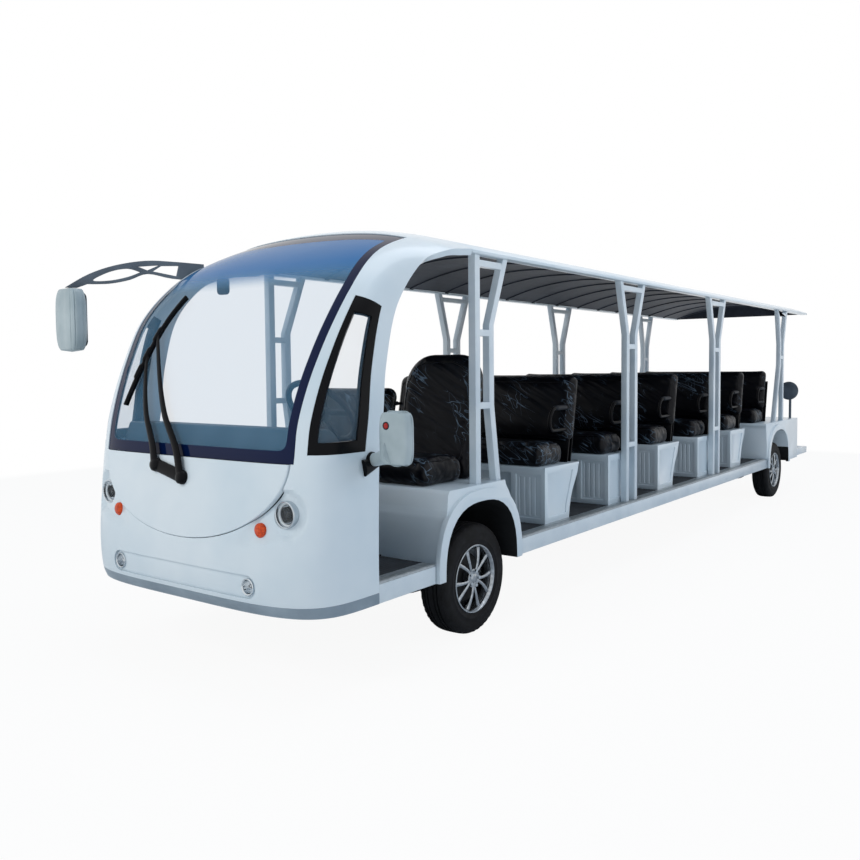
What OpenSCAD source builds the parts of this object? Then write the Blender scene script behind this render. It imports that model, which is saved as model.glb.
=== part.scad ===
// Open-sided electric shuttle bus: seven seat rows, roof on twin-tube pillars, moulded front cab.
// Millimetres. X forward, Y to the left, Z up, origin on the ground below the middle of the bus.

/* [Overall size] */
// distance from the front axle to the nose
front_overhang = 1190; // [1150:5:1240]
// distance between the two axles
wheelbase = 5308; // [5220:2:5400]
// distance from the rear axle to the back of the rear housing
rear_overhang = 742; // [700:2:780]
// depth of the step behind the rear housing
step_depth = 580; // [520:5:640]
// width over the lower body sides
body_width = 1550; // [1500:2:1600]
// height of the roof's side edge above the floor
roof_height = 1468; // [1430:1:1500]
// rise of the roof's crown above its side edges
roof_rise = 145; // [120:1:170]
// height of the floor above the axles
ride_height = 145; // [130:1:160]
// gap between the body side and a mirror head
mirror_gap = 95; // [80:1:120]
// width of a mirror head
mirror_width = 180; // [160:1:200]

/* [Wheels and steering] */
// outside diameter of a tyre
tyre_diameter = 550; // [530:1:570]
// width of a tyre
tyre_width = 155; // [145:1:165]
// distance from the body side in to the outer face of a tyre
wheel_inset = 30; // [20:1:40]
// twin spokes on each alloy rim
spoke_count = 5; // [4:1:7]
// outside diameter of the steering wheel
steering_wheel_diameter = 374; // [340:2:400]
// radius of the hole in each towing eye
tow_eye_radius = 16; // [12:1:20]

/* [Cab] */
// thickness of the moulded front shell
shell_wall = 32; // [26:1:38]
// thickness of the windscreen glass
screen_glass = 7; // [5:0.5:10]
// height of the windscreen's lower edge above the floor
screen_rise = 522; // [500:1:540]
// depth of the curved panel below the windscreen
smile_depth = 342; // [320:1:360]
// radius of a headlamp
headlamp_radius = 56; // [48:1:62]

/* [Seats] */
// height of a moulded bench base
base_height = 325; // [300:1:345]
// thickness of a seat cushion
cushion_height = 128; // [100:1:140]
// depth of a bench's seat cushion
cushion_depth = 288; // [270:1:300]
// height of a bench's back rest above its base
back_height = 535; // [490:1:560]
// thickness of a bench's back rest
back_thickness = 90; // [70:1:100]

/* [Hidden] */
$fn = 48;

seam = 0.5;
running_gap = 0.08;
overall_length = front_overhang + wheelbase + rear_overhang + step_depth;
xf = overall_length / 2 - front_overhang;
xr = xf - wheelbase;
rear_end = xr - rear_overhang;
step_end = rear_end - step_depth;
hw = body_width / 2;
tyre_r = tyre_diameter / 2;
floor_z = tyre_r + ride_height;
sill_z = floor_z - 90;
roof_half = hw - 10;
roof_edge = floor_z + roof_height;
roof_crown = roof_edge + roof_rise;
rim_top_z = roof_edge - 18;
roof_lead = 40;
roof_front = xf + roof_lead;
roof_rear = xr - rear_overhang - 398;
door_x = front_overhang - 427;
screen_bottom = floor_z + screen_rise;

rim_r = 153;
rim_lip_r = 169;
wheel_y = hw - wheel_inset - tyre_width / 2;
kingpin_y = wheel_y - 42;
kingpin_r = 12;
stub_r = 20;
pocket_y = wheel_y - tyre_width / 2 - 160;
spring_y = pocket_y - 50;
rail_y = spring_y - 80;
rail_w = 60;
rail_z0 = sill_z + 5;
rail_z1 = floor_z - 18;
sill_in = hw - 75;

// Wheel arches: half width at the sill and height above it, from the tyre and its clearance.
arch_a = tyre_r + 37;
arch_b = tyre_diameter + 118 - sill_z;
rear_arch_a = arch_a + 20;
rear_arch_b = arch_b + 12;
deck_z = sill_z + arch_b + 77;
rear_deck_z = sill_z + rear_arch_b + 80;

row_first = -765;
row_count = 5;
rear_row = xr + rear_arch_a + 101;
row_pitch = (xf + row_first - rear_row) / row_count;
base_half = hw - 75;
pillar_in = hw - 65;
pillar_w = 42;
pillar_d = 40;
column_tilt = 50;
column_r = 34;
column_gap = 0.3;
hub_x = xf + front_overhang - 521;
hub_y = hw - 415;
hub_z = screen_bottom + 182;

white = [0.86, 0.91, 0.94];
grey = [0.55, 0.58, 0.6];
dark = [0.16, 0.16, 0.18];
black = [0.05, 0.05, 0.06];
silver = [0.75, 0.76, 0.78];
glass = [0.45, 0.6, 0.75, 0.5];

// Smooth curve through the points p, one step of u from each point to the next.
function spline(p, u) =
  let (last = len(p) - 1)
  let (i = min(last - 1, max(0, floor(u))))
  let (f = u - i)
  let (a = p[max(0, i - 1)])
  let (b = p[i])
  let (c = p[i + 1])
  let (d = p[min(last, i + 2)])
  0.5 * (2 * b + (c - a) * f + (2 * a - 5 * b + 4 * c - d) * f * f + (3 * b - a - 3 * c + d) * f * f * f);

// The same curve as a list, with the given number of steps between two points.
function spline_list(p, steps) = [for (k = [0:(len(p) - 1) * steps]) spline(p, k / steps)];

// Cubic curve from a to d with the handles b and c, in the given number of steps.
function bezier(a, b, c, d, steps) = [for (k = [0:steps])
  let (f = k / steps)
  let (g = 1 - f)
  g * g * g * a + 3 * g * g * f * b + 3 * g * f * f * c + f * f * f * d];

function mix(a, b, f) = a + (b - a) * f;

function clamp01(f) = min(1, max(0, f));

// Rectangle with round corners as a list of points.
function rounded(x0, z0, x1, z1, r, steps = 5) =
  [for (c = [[x1 - r, z1 - r, 0], [x0 + r, z1 - r, 90], [x0 + r, z0 + r, 180], [x1 - r, z0 + r, 270]])
    for (k = [0:steps]) [c.x + r * cos(c.z + 90 * k / steps), c.y + r * sin(c.z + 90 * k / steps)]];

// Arch over a wheel: half width a at the sill, height b above it.
function arch(a, b, steps = 22, power = 2.6) = [for (k = [0:steps])
  let (f = 180 * k / steps)
  let (r = pow(pow(abs(cos(f)), power) + pow(sin(f), power), -1 / power))
  [a * r * cos(f), b * r * sin(f)]];

// Side profiles are drawn with X forward and Z up, then extruded across the bus from y0 to y1.
module across(y0, y1) {
  translate([0, y1, 0]) rotate([90, 0, 0]) linear_extrude(height = y1 - y0) children();
}

// Cross sections are drawn with Y to the left and Z up, then extruded along the bus from x0 to x1.
module along(x0, x1) {
  translate([x0, 0, 0]) rotate([90, 0, 90]) linear_extrude(height = x1 - x0) children();
}

module both_sides() {
  children();
  mirror([0, 1, 0]) children();
}

module block(x0, x1, y0, y1, z0, z1) {
  translate([x0, y0, z0]) cube([x1 - x0, y1 - y0, z1 - z0]);
}

// Round bar across the bus, centred on y = 0.
module cross_bar(x, z, length, r) {
  translate([x, -length / 2, z]) rotate([-90, 0, 0]) cylinder(h = length, r = r);
}

// The moulded cab is one surface: u climbs from the bumper over the windscreen to the roof joint,
// t runs across from -1 at the right door edge to 1 at the left one.
function reach(f) = mix(roof_lead, front_overhang, f);
function door(f) = mix(roof_lead, door_x, f);
function crown_z(f) = mix(screen_bottom, roof_crown, f);
function edge_z(f) = mix(screen_bottom, roof_edge, f);

nose_line = [[reach(0.978), sill_z], [reach(1), sill_z + 70],
  [reach(0.993), mix(sill_z, screen_bottom, 0.41)],
  [reach(0.943), screen_bottom], [reach(0.913), crown_z(0.172)], [reach(0.8435), crown_z(0.383)],
  [reach(0.739), crown_z(0.594)], [reach(0.574), crown_z(0.791)], [reach(0.361), crown_z(0.9285)],
  [reach(0.174), crown_z(0.98)], [reach(0), roof_crown]];
door_line = [[door(1), sill_z], [door(1), sill_z + 70], [door(1), mix(sill_z, screen_bottom, 0.41)],
  [door(0.985), screen_bottom], [door(0.945), edge_z(0.199)], [door(0.909), edge_z(0.421)],
  [door(0.798), edge_z(0.685)], [door(0.553), edge_z(0.892)], [door(0.29), edge_z(0.97)],
  [door(0.111), edge_z(0.9915)], [door(0), roof_edge]];
corner_power = [4.5, 4.5, 5, 6, 6, 5.5, 5, 4, 3.4, 3, 2.6];
roof_blend = [0, 0, 0, 0, 0, 0, 0.02, 0.2, 0.55, 0.85, 1];
last_u = len(nose_line) - 1;

function cab_half(u) = mix(hw, roof_half, clamp01((u - 4) / 4));

function cab_point(u, t) =
  let (c = spline(nose_line, u))
  let (s = spline(door_line, u))
  let (n = spline(corner_power, u))
  let (b = clamp01(spline(roof_blend, u)))
  let (a = 90 * min(1, abs(t)))
  let (r = pow(pow(cos(a), n) + pow(sin(a), n), -1 / n))
  let (h = mix(r * sin(a), abs(t), b))
  let (g = mix(1 - r * cos(a), t * t, b))
  [xf + mix(c.x, s.x, g), sign(t) * cab_half(u) * h, mix(c.y, s.y, g)];

// Outward direction; at the roof joint it stays in the joint's plane, so that the shell ends flat.
function cab_normal(u, t) =
  let (e = 0.004)
  let (du = cab_point(min(last_u, u + e), t) - cab_point(max(0, u - e), t))
  let (dt = cab_point(u, min(1, t + e)) - cab_point(u, max(-1, t - e)))
  let (n = cross(dt, du))
  let (m = u > last_u - e ? [0, n.y, n.z] : n)
  m / norm(m);

function cab_skin(u, t, depth) = cab_point(u, t) - depth * cab_normal(u, t);

// Half width of the windscreen, then the front and rear edges of a quarter window and its pane's rows.
screen_u = 3;
screen_top_u = 8.15;
quarter_u0 = 3.15;
pane_u0 = 3.4;
pane_u1 = 5.78;
quarter_u1 = 6.05;
screen_edge = [0.455, 0.456, 0.478, 0.515, 0.562, 0.666];
function middle_t(u) = spline(screen_edge, 5 * clamp01((u - screen_u) / (screen_top_u - screen_u)));
function quarter_front(u) = middle_t(u) + 0.04;
function quarter_rear(u) =
  let (f = clamp01((u - quarter_u0) / (quarter_u1 - quarter_u0)))
  mix(0.85, 0.795, f * f);

// The quarter window's top edge falls to the rear: rows near it are lifted in front and lowered behind.
function row_lift(u, t) =
  let (near = max(0, 1 - abs(u - quarter_u1) / 1.05))
  0.11 * near * mix(1, -1, clamp01((abs(t) - 0.53) / 0.27));

cab_rows = [0, 0.4, 0.8, 1.15, 1.5, 1.85, 2.2, 2.5, 2.75, screen_u, quarter_u0, pane_u0, 3.7, 4.1, 4.55, 5,
  5.4, pane_u1, quarter_u1, 6.35, 6.7, 7.1, 7.55, screen_top_u, 8.5, 9, 9.5, 10];

// Columns from the middle to the door edge; the number of cells in each band is fixed.
front_bar_t = 0.033;
rear_bar_t = 0.085;
function half_columns(u) =
  let (m = middle_t(u))
  let (q0 = quarter_front(u))
  let (q1 = quarter_rear(u))
  concat([for (f = [0.27, 0.52, 0.72, 0.88, 1]) f * m], [mix(m, q0, 0.5), q0],
    [for (f = [0, 0.16, 0.35, 0.57, 0.79, 1]) mix(q0 + front_bar_t, q1 - rear_bar_t, f)], [q1, 1]);

half_count = 15;
col_count = 2 * half_count + 1;
middle_cols = 5;
quarter_col0 = 7;
quarter_col1 = 14;

function cab_t(u, j) =
  let (k = abs(j - half_count))
  k == 0 ? 0 : sign(j - half_count) * half_columns(u)[k - 1];

// Cell j lies between columns j and j + 1; its band is counted from the middle.
function band(j) = j < half_count ? half_count - 1 - j : j - half_count;

function in_rows(i, u0, u1) = cab_rows[i] >= u0 - 0.001 && cab_rows[i + 1] <= u1 + 0.001;

function is_lip(i, j) = in_rows(i, 0, 0.8);
function is_screen(i, j) = in_rows(i, screen_u, screen_top_u) && band(j) < middle_cols;
function is_quarter(i, j) =
  in_rows(i, quarter_u0, quarter_u1) && band(j) >= quarter_col0 && band(j) < quarter_col1;
function is_pane(i, j) =
  in_rows(i, pane_u0, pane_u1) && band(j) > quarter_col0 && band(j) < quarter_col1 - 1;
function is_frame(i, j) = is_quarter(i, j) && !is_pane(i, j);
function is_shell(i, j) = !is_lip(i, j) && !is_screen(i, j) && !is_quarter(i, j);

// One panel of the cab: the cells that keep(i, j) picks, between two depths below the surface,
// with its border drawn in by the inset.
module cab_panel(keep, outer, inner, inset = 0) {
  rows = len(cab_rows);
  cells = [for (i = [0:rows - 2]) for (j = [0:col_count - 2]) if (keep(i, j)) [i, j]];
  function at(i, j) = i * col_count + j;
  function under(i, j) = rows * col_count + at(i, j);
  function kept(i, j) = i >= 0 && i < rows - 1 && j >= 0 && j < col_count - 1 && keep(i, j);
  function count(i, j) = kept(i, j) ? 1 : 0;
  function vertex(i, j, depth) =
    let (t = cab_t(cab_rows[i], j))
    let (u = cab_rows[i] + row_lift(cab_rows[i], t))
    let (lean_u = sign(count(i, j - 1) + count(i, j) - count(i - 1, j - 1) - count(i - 1, j)))
    let (lean_t = sign(count(i - 1, j) + count(i, j) - count(i - 1, j - 1) - count(i, j - 1)))
    let (step = 0.01)
    let (mm_u = norm(cab_point(u + step * lean_u, t) - cab_point(u, t)) / step)
    let (mm_t = norm(cab_point(u, t + step * lean_t) - cab_point(u, t)) / step)
    let (u_in = lean_u == 0 ? u : u + lean_u * inset / mm_u)
    let (t_in = lean_t == 0 ? t : t + lean_t * inset / mm_t)
    cab_skin(u_in, t_in, depth);
  skins = [for (depth = [outer, inner]) for (i = [0:rows - 1]) for (j = [0:col_count - 1])
    vertex(i, j, depth)];
  faces = [for (c = cells)
    let (i = c[0])
    let (j = c[1])
    each concat(
      [[at(i, j), at(i + 1, j), at(i + 1, j + 1)], [at(i, j), at(i + 1, j + 1), at(i, j + 1)]],
      [[under(i, j), under(i + 1, j + 1), under(i + 1, j)],
        [under(i, j), under(i, j + 1), under(i + 1, j + 1)]],
      kept(i - 1, j) ? [] : [[at(i, j), at(i, j + 1), under(i, j + 1)],
        [at(i, j), under(i, j + 1), under(i, j)]],
      kept(i + 1, j) ? [] : [[at(i + 1, j + 1), at(i + 1, j), under(i + 1, j + 1)],
        [at(i + 1, j), under(i + 1, j), under(i + 1, j + 1)]],
      kept(i, j - 1) ? [] : [[at(i + 1, j), at(i, j), under(i, j)],
        [at(i + 1, j), under(i, j), under(i + 1, j)]],
      kept(i, j + 1) ? [] : [[at(i, j + 1), at(i + 1, j + 1), under(i, j + 1)],
        [at(i + 1, j + 1), under(i + 1, j + 1), under(i, j + 1)]]
    )];
  polyhedron(points = skins, faces = faces, convexity = 10);
}

// Curved panel below the windscreen: half an ellipse, whose edge lies at this half width some way down.
smile_half = cab_point(screen_u, 0.445).y;
function smile_edge(drop) = smile_half * sqrt(1 - pow(drop / smile_depth, 2));

// Lamps beside the panel's edge, each with its own gap to it, and the fog lamps below.
headlamp_drop = 200;
headlamp_gap = 41.5;
indicator_drop = 269;
indicator_gap = 71.5;
indicator_radius = 30;
fog_radius = 36;
strip_radius = 48;
headlamp_at = [xf + front_overhang - 79, smile_edge(headlamp_drop) + headlamp_radius + headlamp_gap,
  screen_bottom - headlamp_drop];
indicator_at = [xf + front_overhang - 49, smile_edge(indicator_drop) + indicator_radius + indicator_gap,
  screen_bottom - indicator_drop];
fog_at = [xf + front_overhang - 24, hw - 339, sill_z + 113];

module lamp_bore(at, r) {
  translate([at.x - 110, at.y, at.z]) rotate([0, 90, 0]) cylinder(h = 220, r = r);
}

// The curved panel's outline, seen from the front.
module smile_cut(inset) {
  w = smile_half - inset;
  h = smile_depth - inset;
  along(xf + door_x, xf + front_overhang + 100)
    polygon([for (k = [0:32]) [-w * cos(180 * k / 32), screen_bottom - h * sin(180 * k / 32)]]);
}

// Recess between the fog lamps, seen from the front.
module strip_cut(inset) {
  r = strip_radius - inset;
  along(xf + door_x, xf + front_overhang + 100)
    polygon(rounded(-fog_at.y - r, fog_at.z - r, fog_at.y + r, fog_at.z + r, r, 8));
}

// Shallow dish round a lamp: part of a sphere that sinks into the surface.
module dish(at, radius, depth) {
  ball = (radius * radius + depth * depth) / (2 * depth);
  out = [0.94, 0.33, 0.08];
  translate(at + out * (ball - depth)) sphere(r = ball, $fn = 64);
}

module front_shell() {
  color(white) difference() {
    cab_panel(function(i, j) is_shell(i, j), 0, shell_wall);
    smile_cut(0);
    strip_cut(0);
    both_sides() dish(headlamp_at + [16, 0, 0], 92, 14);
    both_sides() lamp_bore(headlamp_at, headlamp_radius);
    both_sides() lamp_bore(indicator_at, indicator_radius);
  }
}

module front_panel() {
  color(white) intersection() {
    cab_panel(function(i, j) in_rows(i, 1.5, screen_u) && band(j) < middle_cols + 1, -4, shell_wall, seam);
    smile_cut(seam);
  }
}

module bumper_lip() {
  color(grey) cab_panel(function(i, j) is_lip(i, j), 0, shell_wall, seam);
}

module fog_strip() {
  color(white) difference() {
    intersection() {
      cab_panel(function(i, j) in_rows(i, 0.8, 1.85) && band(j) < quarter_col0, 12, shell_wall, 0);
      strip_cut(seam);
    }
    both_sides() lamp_bore(fog_at, fog_radius);
  }
}

module windscreen() {
  color(glass) cab_panel(function(i, j) is_screen(i, j), 4, 4 + screen_glass, seam);
}

module quarter_frames() {
  color(black) cab_panel(function(i, j) is_frame(i, j), 2, shell_wall - 4, seam);
}

module quarter_glass() {
  color(glass) cab_panel(function(i, j) is_pane(i, j), 10, 16, seam);
}

// Lamp bowl turned about its own axis: a bezel, a hollow reflector and a bulb, facing forward.
module lamp_bowl(at, r, depth) {
  translate([at.x - depth, at.y, at.z]) rotate([0, 90, 0]) rotate_extrude() polygon(concat(
    [[0, 0], [r, 0], [r, depth + 14], [r - 3, depth + 17], [r - 7, depth + 14]],
    [for (k = [1:8]) [(r - 7) * cos(11 * k), depth + 14 - (depth + 4) * sin(11 * k)]],
    [[r * 0.16, depth - 6], [0, depth]]));
}

// Domed lens that sits just inside a lamp's bezel.
module lamp_lens(at, r, dome) {
  rim = r - 7.5;
  translate([at.x, at.y, at.z]) rotate([0, 90, 0]) rotate_extrude() polygon(concat(
    [for (k = [0:8]) [rim * cos(90 * k / 8), 12 + dome * sin(90 * k / 8)]],
    [for (k = [8:-1:0]) [(rim - 3) * cos(90 * k / 8), 10 + (dome - 1) * sin(90 * k / 8)]]));
}

module headlamps() {
  color(silver) both_sides() lamp_bowl(headlamp_at, headlamp_radius, 60);
}

module indicators() {
  color([0.95, 0.4, 0.1]) both_sides() translate([indicator_at.x - 45, indicator_at.y, indicator_at.z])
    rotate([0, 90, 0]) rotate_extrude() polygon(concat([[0, 0], [indicator_radius, 0]],
      [for (k = [0:8]) [indicator_radius * cos(90 * k / 8), 54 + 14 * sin(90 * k / 8)]]));
}

module fog_lamps() {
  color(silver) both_sides() lamp_bowl(fog_at, fog_radius, 36);
}

module lamp_lenses() {
  color(glass) both_sides() {
    lamp_lens(headlamp_at, headlamp_radius, 12);
    lamp_lens(fog_at, fog_radius, 7);
  }
}

// Rails and cross members below the floor, with the two towing eyes.
eye_z = sill_z - 30;
row_cross = -535;

module chassis_frame() {
  front_cross = xf + front_overhang - 210;
  front_eye = front_cross - 90;
  rear_cross = xr - rear_overhang + 242;
  row_members = [for (k = [0:row_count - 2]) row_x(k) + row_cross];
  color(dark) difference() {
    union() {
      both_sides() block(rear_end + 30, xf + front_overhang - 150, rail_y - rail_w / 2,
        rail_y + rail_w / 2, rail_z0, rail_z1);
      for (x = concat([front_cross, xf + arch_a + 108, xf - arch_a - 168], row_members,
        [xr + rear_arch_a + 168, rear_cross]))
        block(x - 30, x + 30, -rail_y, rail_y, rail_z0, rail_z1);
      for (x = concat([xf + arch_a + 248, xf - arch_a - 248, xr + rear_arch_a + 288], row_members))
        both_sides() block(x - 30, x + 30, rail_y, sill_in, rail_z0 + 15, rail_z1);
      block(front_eye - 36, front_cross, -30, 30, eye_z - 38, sill_z + 40);
      block(rear_end - 24, rear_cross, -30, 30, eye_z - 38, sill_z + 8);
      block(rear_end + 30, rear_cross, -30, 30, sill_z, sill_z + 40);
    }
    cross_bar(front_eye, eye_z, 100, tow_eye_radius);
    cross_bar(rear_end + 10, eye_z, 100, tow_eye_radius);
  }
}

module floor_deck() {
  low = floor_z - 18;
  color(dark) union() {
    block(xf + arch_a + 53, xf + front_overhang - 260, -sill_in, sill_in, low, floor_z);
    block(rear_row, xf - arch_a - 50, -sill_in, sill_in, low, floor_z);
    block(xf - arch_a - 60, xf + arch_a + 60, 10 - pocket_y, pocket_y - 10, low, floor_z);
    block(xr - rear_overhang + 242, rear_row + 7, 10 - pocket_y, pocket_y - 10, low, floor_z);
  }
}

module side_sills() {
  color(white) both_sides() {
    block(xf + arch_a + 57, xf + door_x, sill_in, hw, sill_z, floor_z - 8);
    block(xr + rear_arch_a + 55, xf - arch_a - 53, sill_in, hw, sill_z, floor_z - 8);
  }
}

module step_nosings() {
  color(silver) both_sides() {
    block(xf + arch_a + 57, xf + door_x, sill_in, hw - 2, floor_z - 8, floor_z + 2);
    block(rear_row, xf - arch_a - 53, sill_in, hw - 2, floor_z - 8, floor_z + 2);
  }
}

// Opening for a wheel on both sides, from the pocket's inner wall outwards.
module wheel_pockets(x, a, b) {
  both_sides() translate([x, 0, sill_z]) across(pocket_y, hw + 40)
    polygon(concat(arch(a, b), [[-a, -10], [a, -10]]));
}

module flares(x, a, b) {
  both_sides() translate([x, 0, sill_z]) across(hw - 10, hw + 18) polygon(arch(a, b));
}

// Seat deck over the front wheels, with an arch and a raised flare on each side.
module front_housing() {
  foot = arch_a + 53;
  front_face = bezier([foot, sill_z], [foot - 20, sill_z + 160], [foot - 85, sill_z + 200],
    [foot - 95, deck_z - 20], 8);
  rear_face = bezier([-230, deck_z - 20], [30 - foot, sill_z + 260], [10 - foot, sill_z + 160],
    [4 - foot, sill_z], 8);
  color(white) difference() {
    union() {
      translate([xf, 0, 0]) across(-hw, hw)
        polygon(concat(front_face, [[foot - 110, deck_z], [-225, deck_z]], rear_face));
      flares(xf, arch_a + 51, arch_b + 57);
    }
    wheel_pockets(xf, arch_a, arch_b);
    block(xf - 200, xf + foot - 130, 30 - pocket_y, pocket_y - 30, sill_z - 10, deck_z - 30);
    block(xf - foot - 40, xf + foot + 40, -pocket_y, pocket_y, sill_z - 10, floor_z);
  }
}

// Housing under the last bench; its front face is drawn in towards the floor.
module rear_housing() {
  front = rear_row;
  color(white) difference() {
    union() {
      across(-hw, hw) polygon(concat([[rear_end, sill_z + 10], [rear_end, rear_deck_z], [front, rear_deck_z],
        [front, rear_deck_z - 20]], bezier([front - 6, rear_deck_z - 20], [front - 20, rear_deck_z - 150],
        [front - 45, floor_z + 150], [front - 45, floor_z], 8), [[front - 45, sill_z + 10]]));
      flares(xr, rear_arch_a + 53, rear_arch_b + 55);
    }
    wheel_pockets(xr, rear_arch_a, rear_arch_b);
    block(rear_end + 25, front - 75, 30 - pocket_y, pocket_y - 30, sill_z - 10, rear_deck_z - 30);
    block(rear_end + 222, front + 30, -pocket_y, pocket_y, sill_z - 10, floor_z);
    both_sides() block(xr + rear_arch_a + 48, front + 30, sill_in, hw + 30, sill_z - 10, floor_z - 8);
    both_sides() block(front - 60, front + 30, sill_in, hw + 10, sill_z - 10, floor_z + 2);
    block(xr + rear_arch_a + 48, front + 30, -sill_in, sill_in, sill_z - 10, floor_z);
  }
}

// Tube of one width that follows the points [x, z].
module tube(points) {
  half = pillar_w / 2;
  polygon(concat([for (p = points) [p.x + half, p.y]],
    [for (k = [len(points) - 1:-1:0]) [points[k].x - half, points[k].y]]));
}

module tie(x0, x1, z) {
  translate([min(x0, x1), z - 16]) square([abs(x1 - x0), 32]);
}

module front_pillars() {
  bend = rim_top_z - 340;
  color(white) both_sides() translate([xf, 0, 0]) across(pillar_in, pillar_in + pillar_d) union() {
    tube([[-20, deck_z], [-20, rim_top_z]]);
    tube([[-200, deck_z], [-143, deck_z + 385], [-143, bend], [-276, rim_top_z]]);
    tie(-20, -140, deck_z + 385);
    tie(-20, -140, bend - 40);
    tie(-20, -240, rim_top_z - 40);
  }
}

module twin_pillar(x) {
  bend = rim_top_z - 340;
  translate([x, 0, 0]) across(pillar_in, pillar_in + pillar_d) union() {
    tube([[65, floor_z + 2], [65, bend], [165, rim_top_z]]);
    tube([[-65, floor_z + 2], [-65, bend], [-195, rim_top_z]]);
    tie(-65, 65, floor_z + 380);
    tie(-65, 65, bend - 80);
    tie(-160, 140, rim_top_z - 40);
  }
}

module middle_pillars() {
  color(white) both_sides() {
    twin_pillar(row_x(1) - 258);
    twin_pillar(row_x(3) - 307);
  }
}

module rear_pillars() {
  bend = rim_top_z - 340;
  color(white) both_sides() translate([xr, 0, 0]) across(pillar_in, pillar_in + pillar_d) union() {
    tube([[24, rear_deck_z], [-150, bend - 200], [-150, bend], [-68, rim_top_z]]);
    tube([[-254, rear_deck_z], [-254, bend], [-366, rim_top_z]]);
    tie(-254, -150, bend - 130);
    tie(-330, -100, rim_top_z - 40);
  }
}

// Height of the roof's outer face at y.
function roof_z(y) = roof_crown - roof_rise * y * y / (roof_half * roof_half);

roof_steps = 20;
roof_wall = 24;
lining_half = pillar_in - 15;

function roof_arc(half, drop) = [for (k = [0:roof_steps])
  let (y = mix(-half, half, k / roof_steps))
  [y, roof_z(y) - drop]];

function reversed(p) = [for (k = [len(p) - 1:-1:0]) p[k]];

module roof_skin() {
  color(white) along(roof_rear, roof_front) polygon(concat(roof_arc(roof_half, 0),
    [[roof_half, rim_top_z], [lining_half, rim_top_z]], reversed(roof_arc(lining_half, roof_wall)),
    [[-lining_half, rim_top_z], [-roof_half, rim_top_z]]));
}

// Arched band below the roof skin.
module lining_band(x0, x1, top, depth) {
  along(x0, x1) polygon(concat(roof_arc(lining_half, top), reversed(roof_arc(lining_half, top + depth))));
}

module roof_lining() {
  ribs = 15;
  color(dark) union() {
    lining_band(roof_rear + 20, roof_front - 20, roof_wall, 8);
    for (k = [0:ribs])
      let (x = mix(roof_rear + 60, roof_front - 80, k / ribs))
      lining_band(x - 16, x + 16, roof_wall + 6, 11);
  }
}

// Side profile of a moulded bench base: upright front, rear edge drawn in towards the floor.
base_depth = cushion_depth + back_thickness + 38;
function base_profile(x, top) = concat(
  [[x, floor_z], [x, top], [x - base_depth, top], [x - base_depth, top - 14]],
  bezier([x - base_depth + 4, top - 14], [x - base_depth + 31, top - 130],
    [x - base_depth + 104, top - 120], [x - base_depth + 128, floor_z], 8));

function row_x(k) = xf + row_first - row_pitch * k;

seat_top = floor_z + base_height;

module bench_base(x) {
  rear = x - base_depth;
  difference() {
    across(-base_half, base_half) polygon(base_profile(x, seat_top));
    block(x - 30, x + 10, 230 - base_half, base_half - 230, floor_z + 25, seat_top - 40);
    both_sides() block(x - 8, x + 10, base_half - 195, base_half - 30, floor_z + 30, seat_top - 45);
    both_sides() for (k = [0:3])
      block(x - 12, x, base_half - 175 + 35 * k, base_half - 165 + 35 * k, floor_z + 45, seat_top - 60);
    both_sides() across(base_half - 8, base_half + 10) polygon([[x - 40, floor_z + 35],
      [x - 40, seat_top - 40], [rear + 76, seat_top - 40], [rear + 158, floor_z + 90],
      [rear + 166, floor_z + 35]]);
  }
}

module bench_bases() {
  color(white) for (k = [0:row_count - 1]) bench_base(row_x(k));
}

back_slope = 0.2;
back_foot = cushion_depth + back_thickness;

module cushion(x, z, depth, y0, y1) {
  across(y0, y1) polygon(rounded(x - depth, z, x + 14, z + cushion_height, 36));
}

// Leaning back rest: its rear face starts at the foot point and leans to the rear.
module back_rest(foot_x, foot_z, z0, z1, thick, y0, y1) {
  across(y0, y1) polygon([for (p = rounded(0, z0, thick, z1, thick * 0.35))
    [p.x + foot_x - back_slope * (p.y - foot_z), p.y]]);
}

module back_frame(foot_x, foot_z, top_z, y) {
  lean = back_slope * (top_z - foot_z);
  across(y - 20, y + 20) polygon([[foot_x, foot_z], [foot_x - 9, foot_z], [foot_x - 9 - lean, top_z],
    [foot_x - lean, top_z]]);
}

module bench_cushions() {
  color(black) {
    for (k = [0:row_count - 1]) cushion(row_x(k), seat_top, cushion_depth, 10 - base_half, base_half - 10);
    cushion(rear_row, rear_deck_z, cushion_depth, 10 - base_half, base_half - 10);
  }
}

module bench_backs() {
  z0 = cushion_height - 8;
  color(black) {
    for (k = [0:row_count - 1])
      back_rest(row_x(k) - back_foot, seat_top, seat_top + z0, seat_top + back_height, back_thickness,
        -base_half, base_half);
    back_rest(rear_row - back_foot, rear_deck_z, rear_deck_z + z0, rear_deck_z + back_height - 15,
      back_thickness, 30 - base_half, base_half - 30);
  }
}

module bench_frames() {
  color(dark) for (y = [60 - base_half, -200, 200, base_half - 60]) {
    for (k = [0:row_count - 1]) back_frame(row_x(k) - back_foot, seat_top, seat_top + back_height - 135, y);
    back_frame(rear_row - back_foot, rear_deck_z, rear_deck_z + back_height - 135, y);
  }
}

// Driver's single seat on the left, a wider seat on the right.
driver_in = 110;
driver_out = hw - 135;
mate_in = -60;
mate_out = hw - 95;
cab_seat_front = 240;
cab_seat_depth = 330;
cab_back = 110;
cab_back_foot = cab_seat_front - cab_seat_depth - cab_back - 4;

module cab_cushions() {
  color(black) {
    cushion(xf + cab_seat_front, deck_z, cab_seat_depth, driver_in, driver_out);
    cushion(xf + cab_seat_front, deck_z, cab_seat_depth, -mate_out, -mate_in);
  }
}

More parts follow.
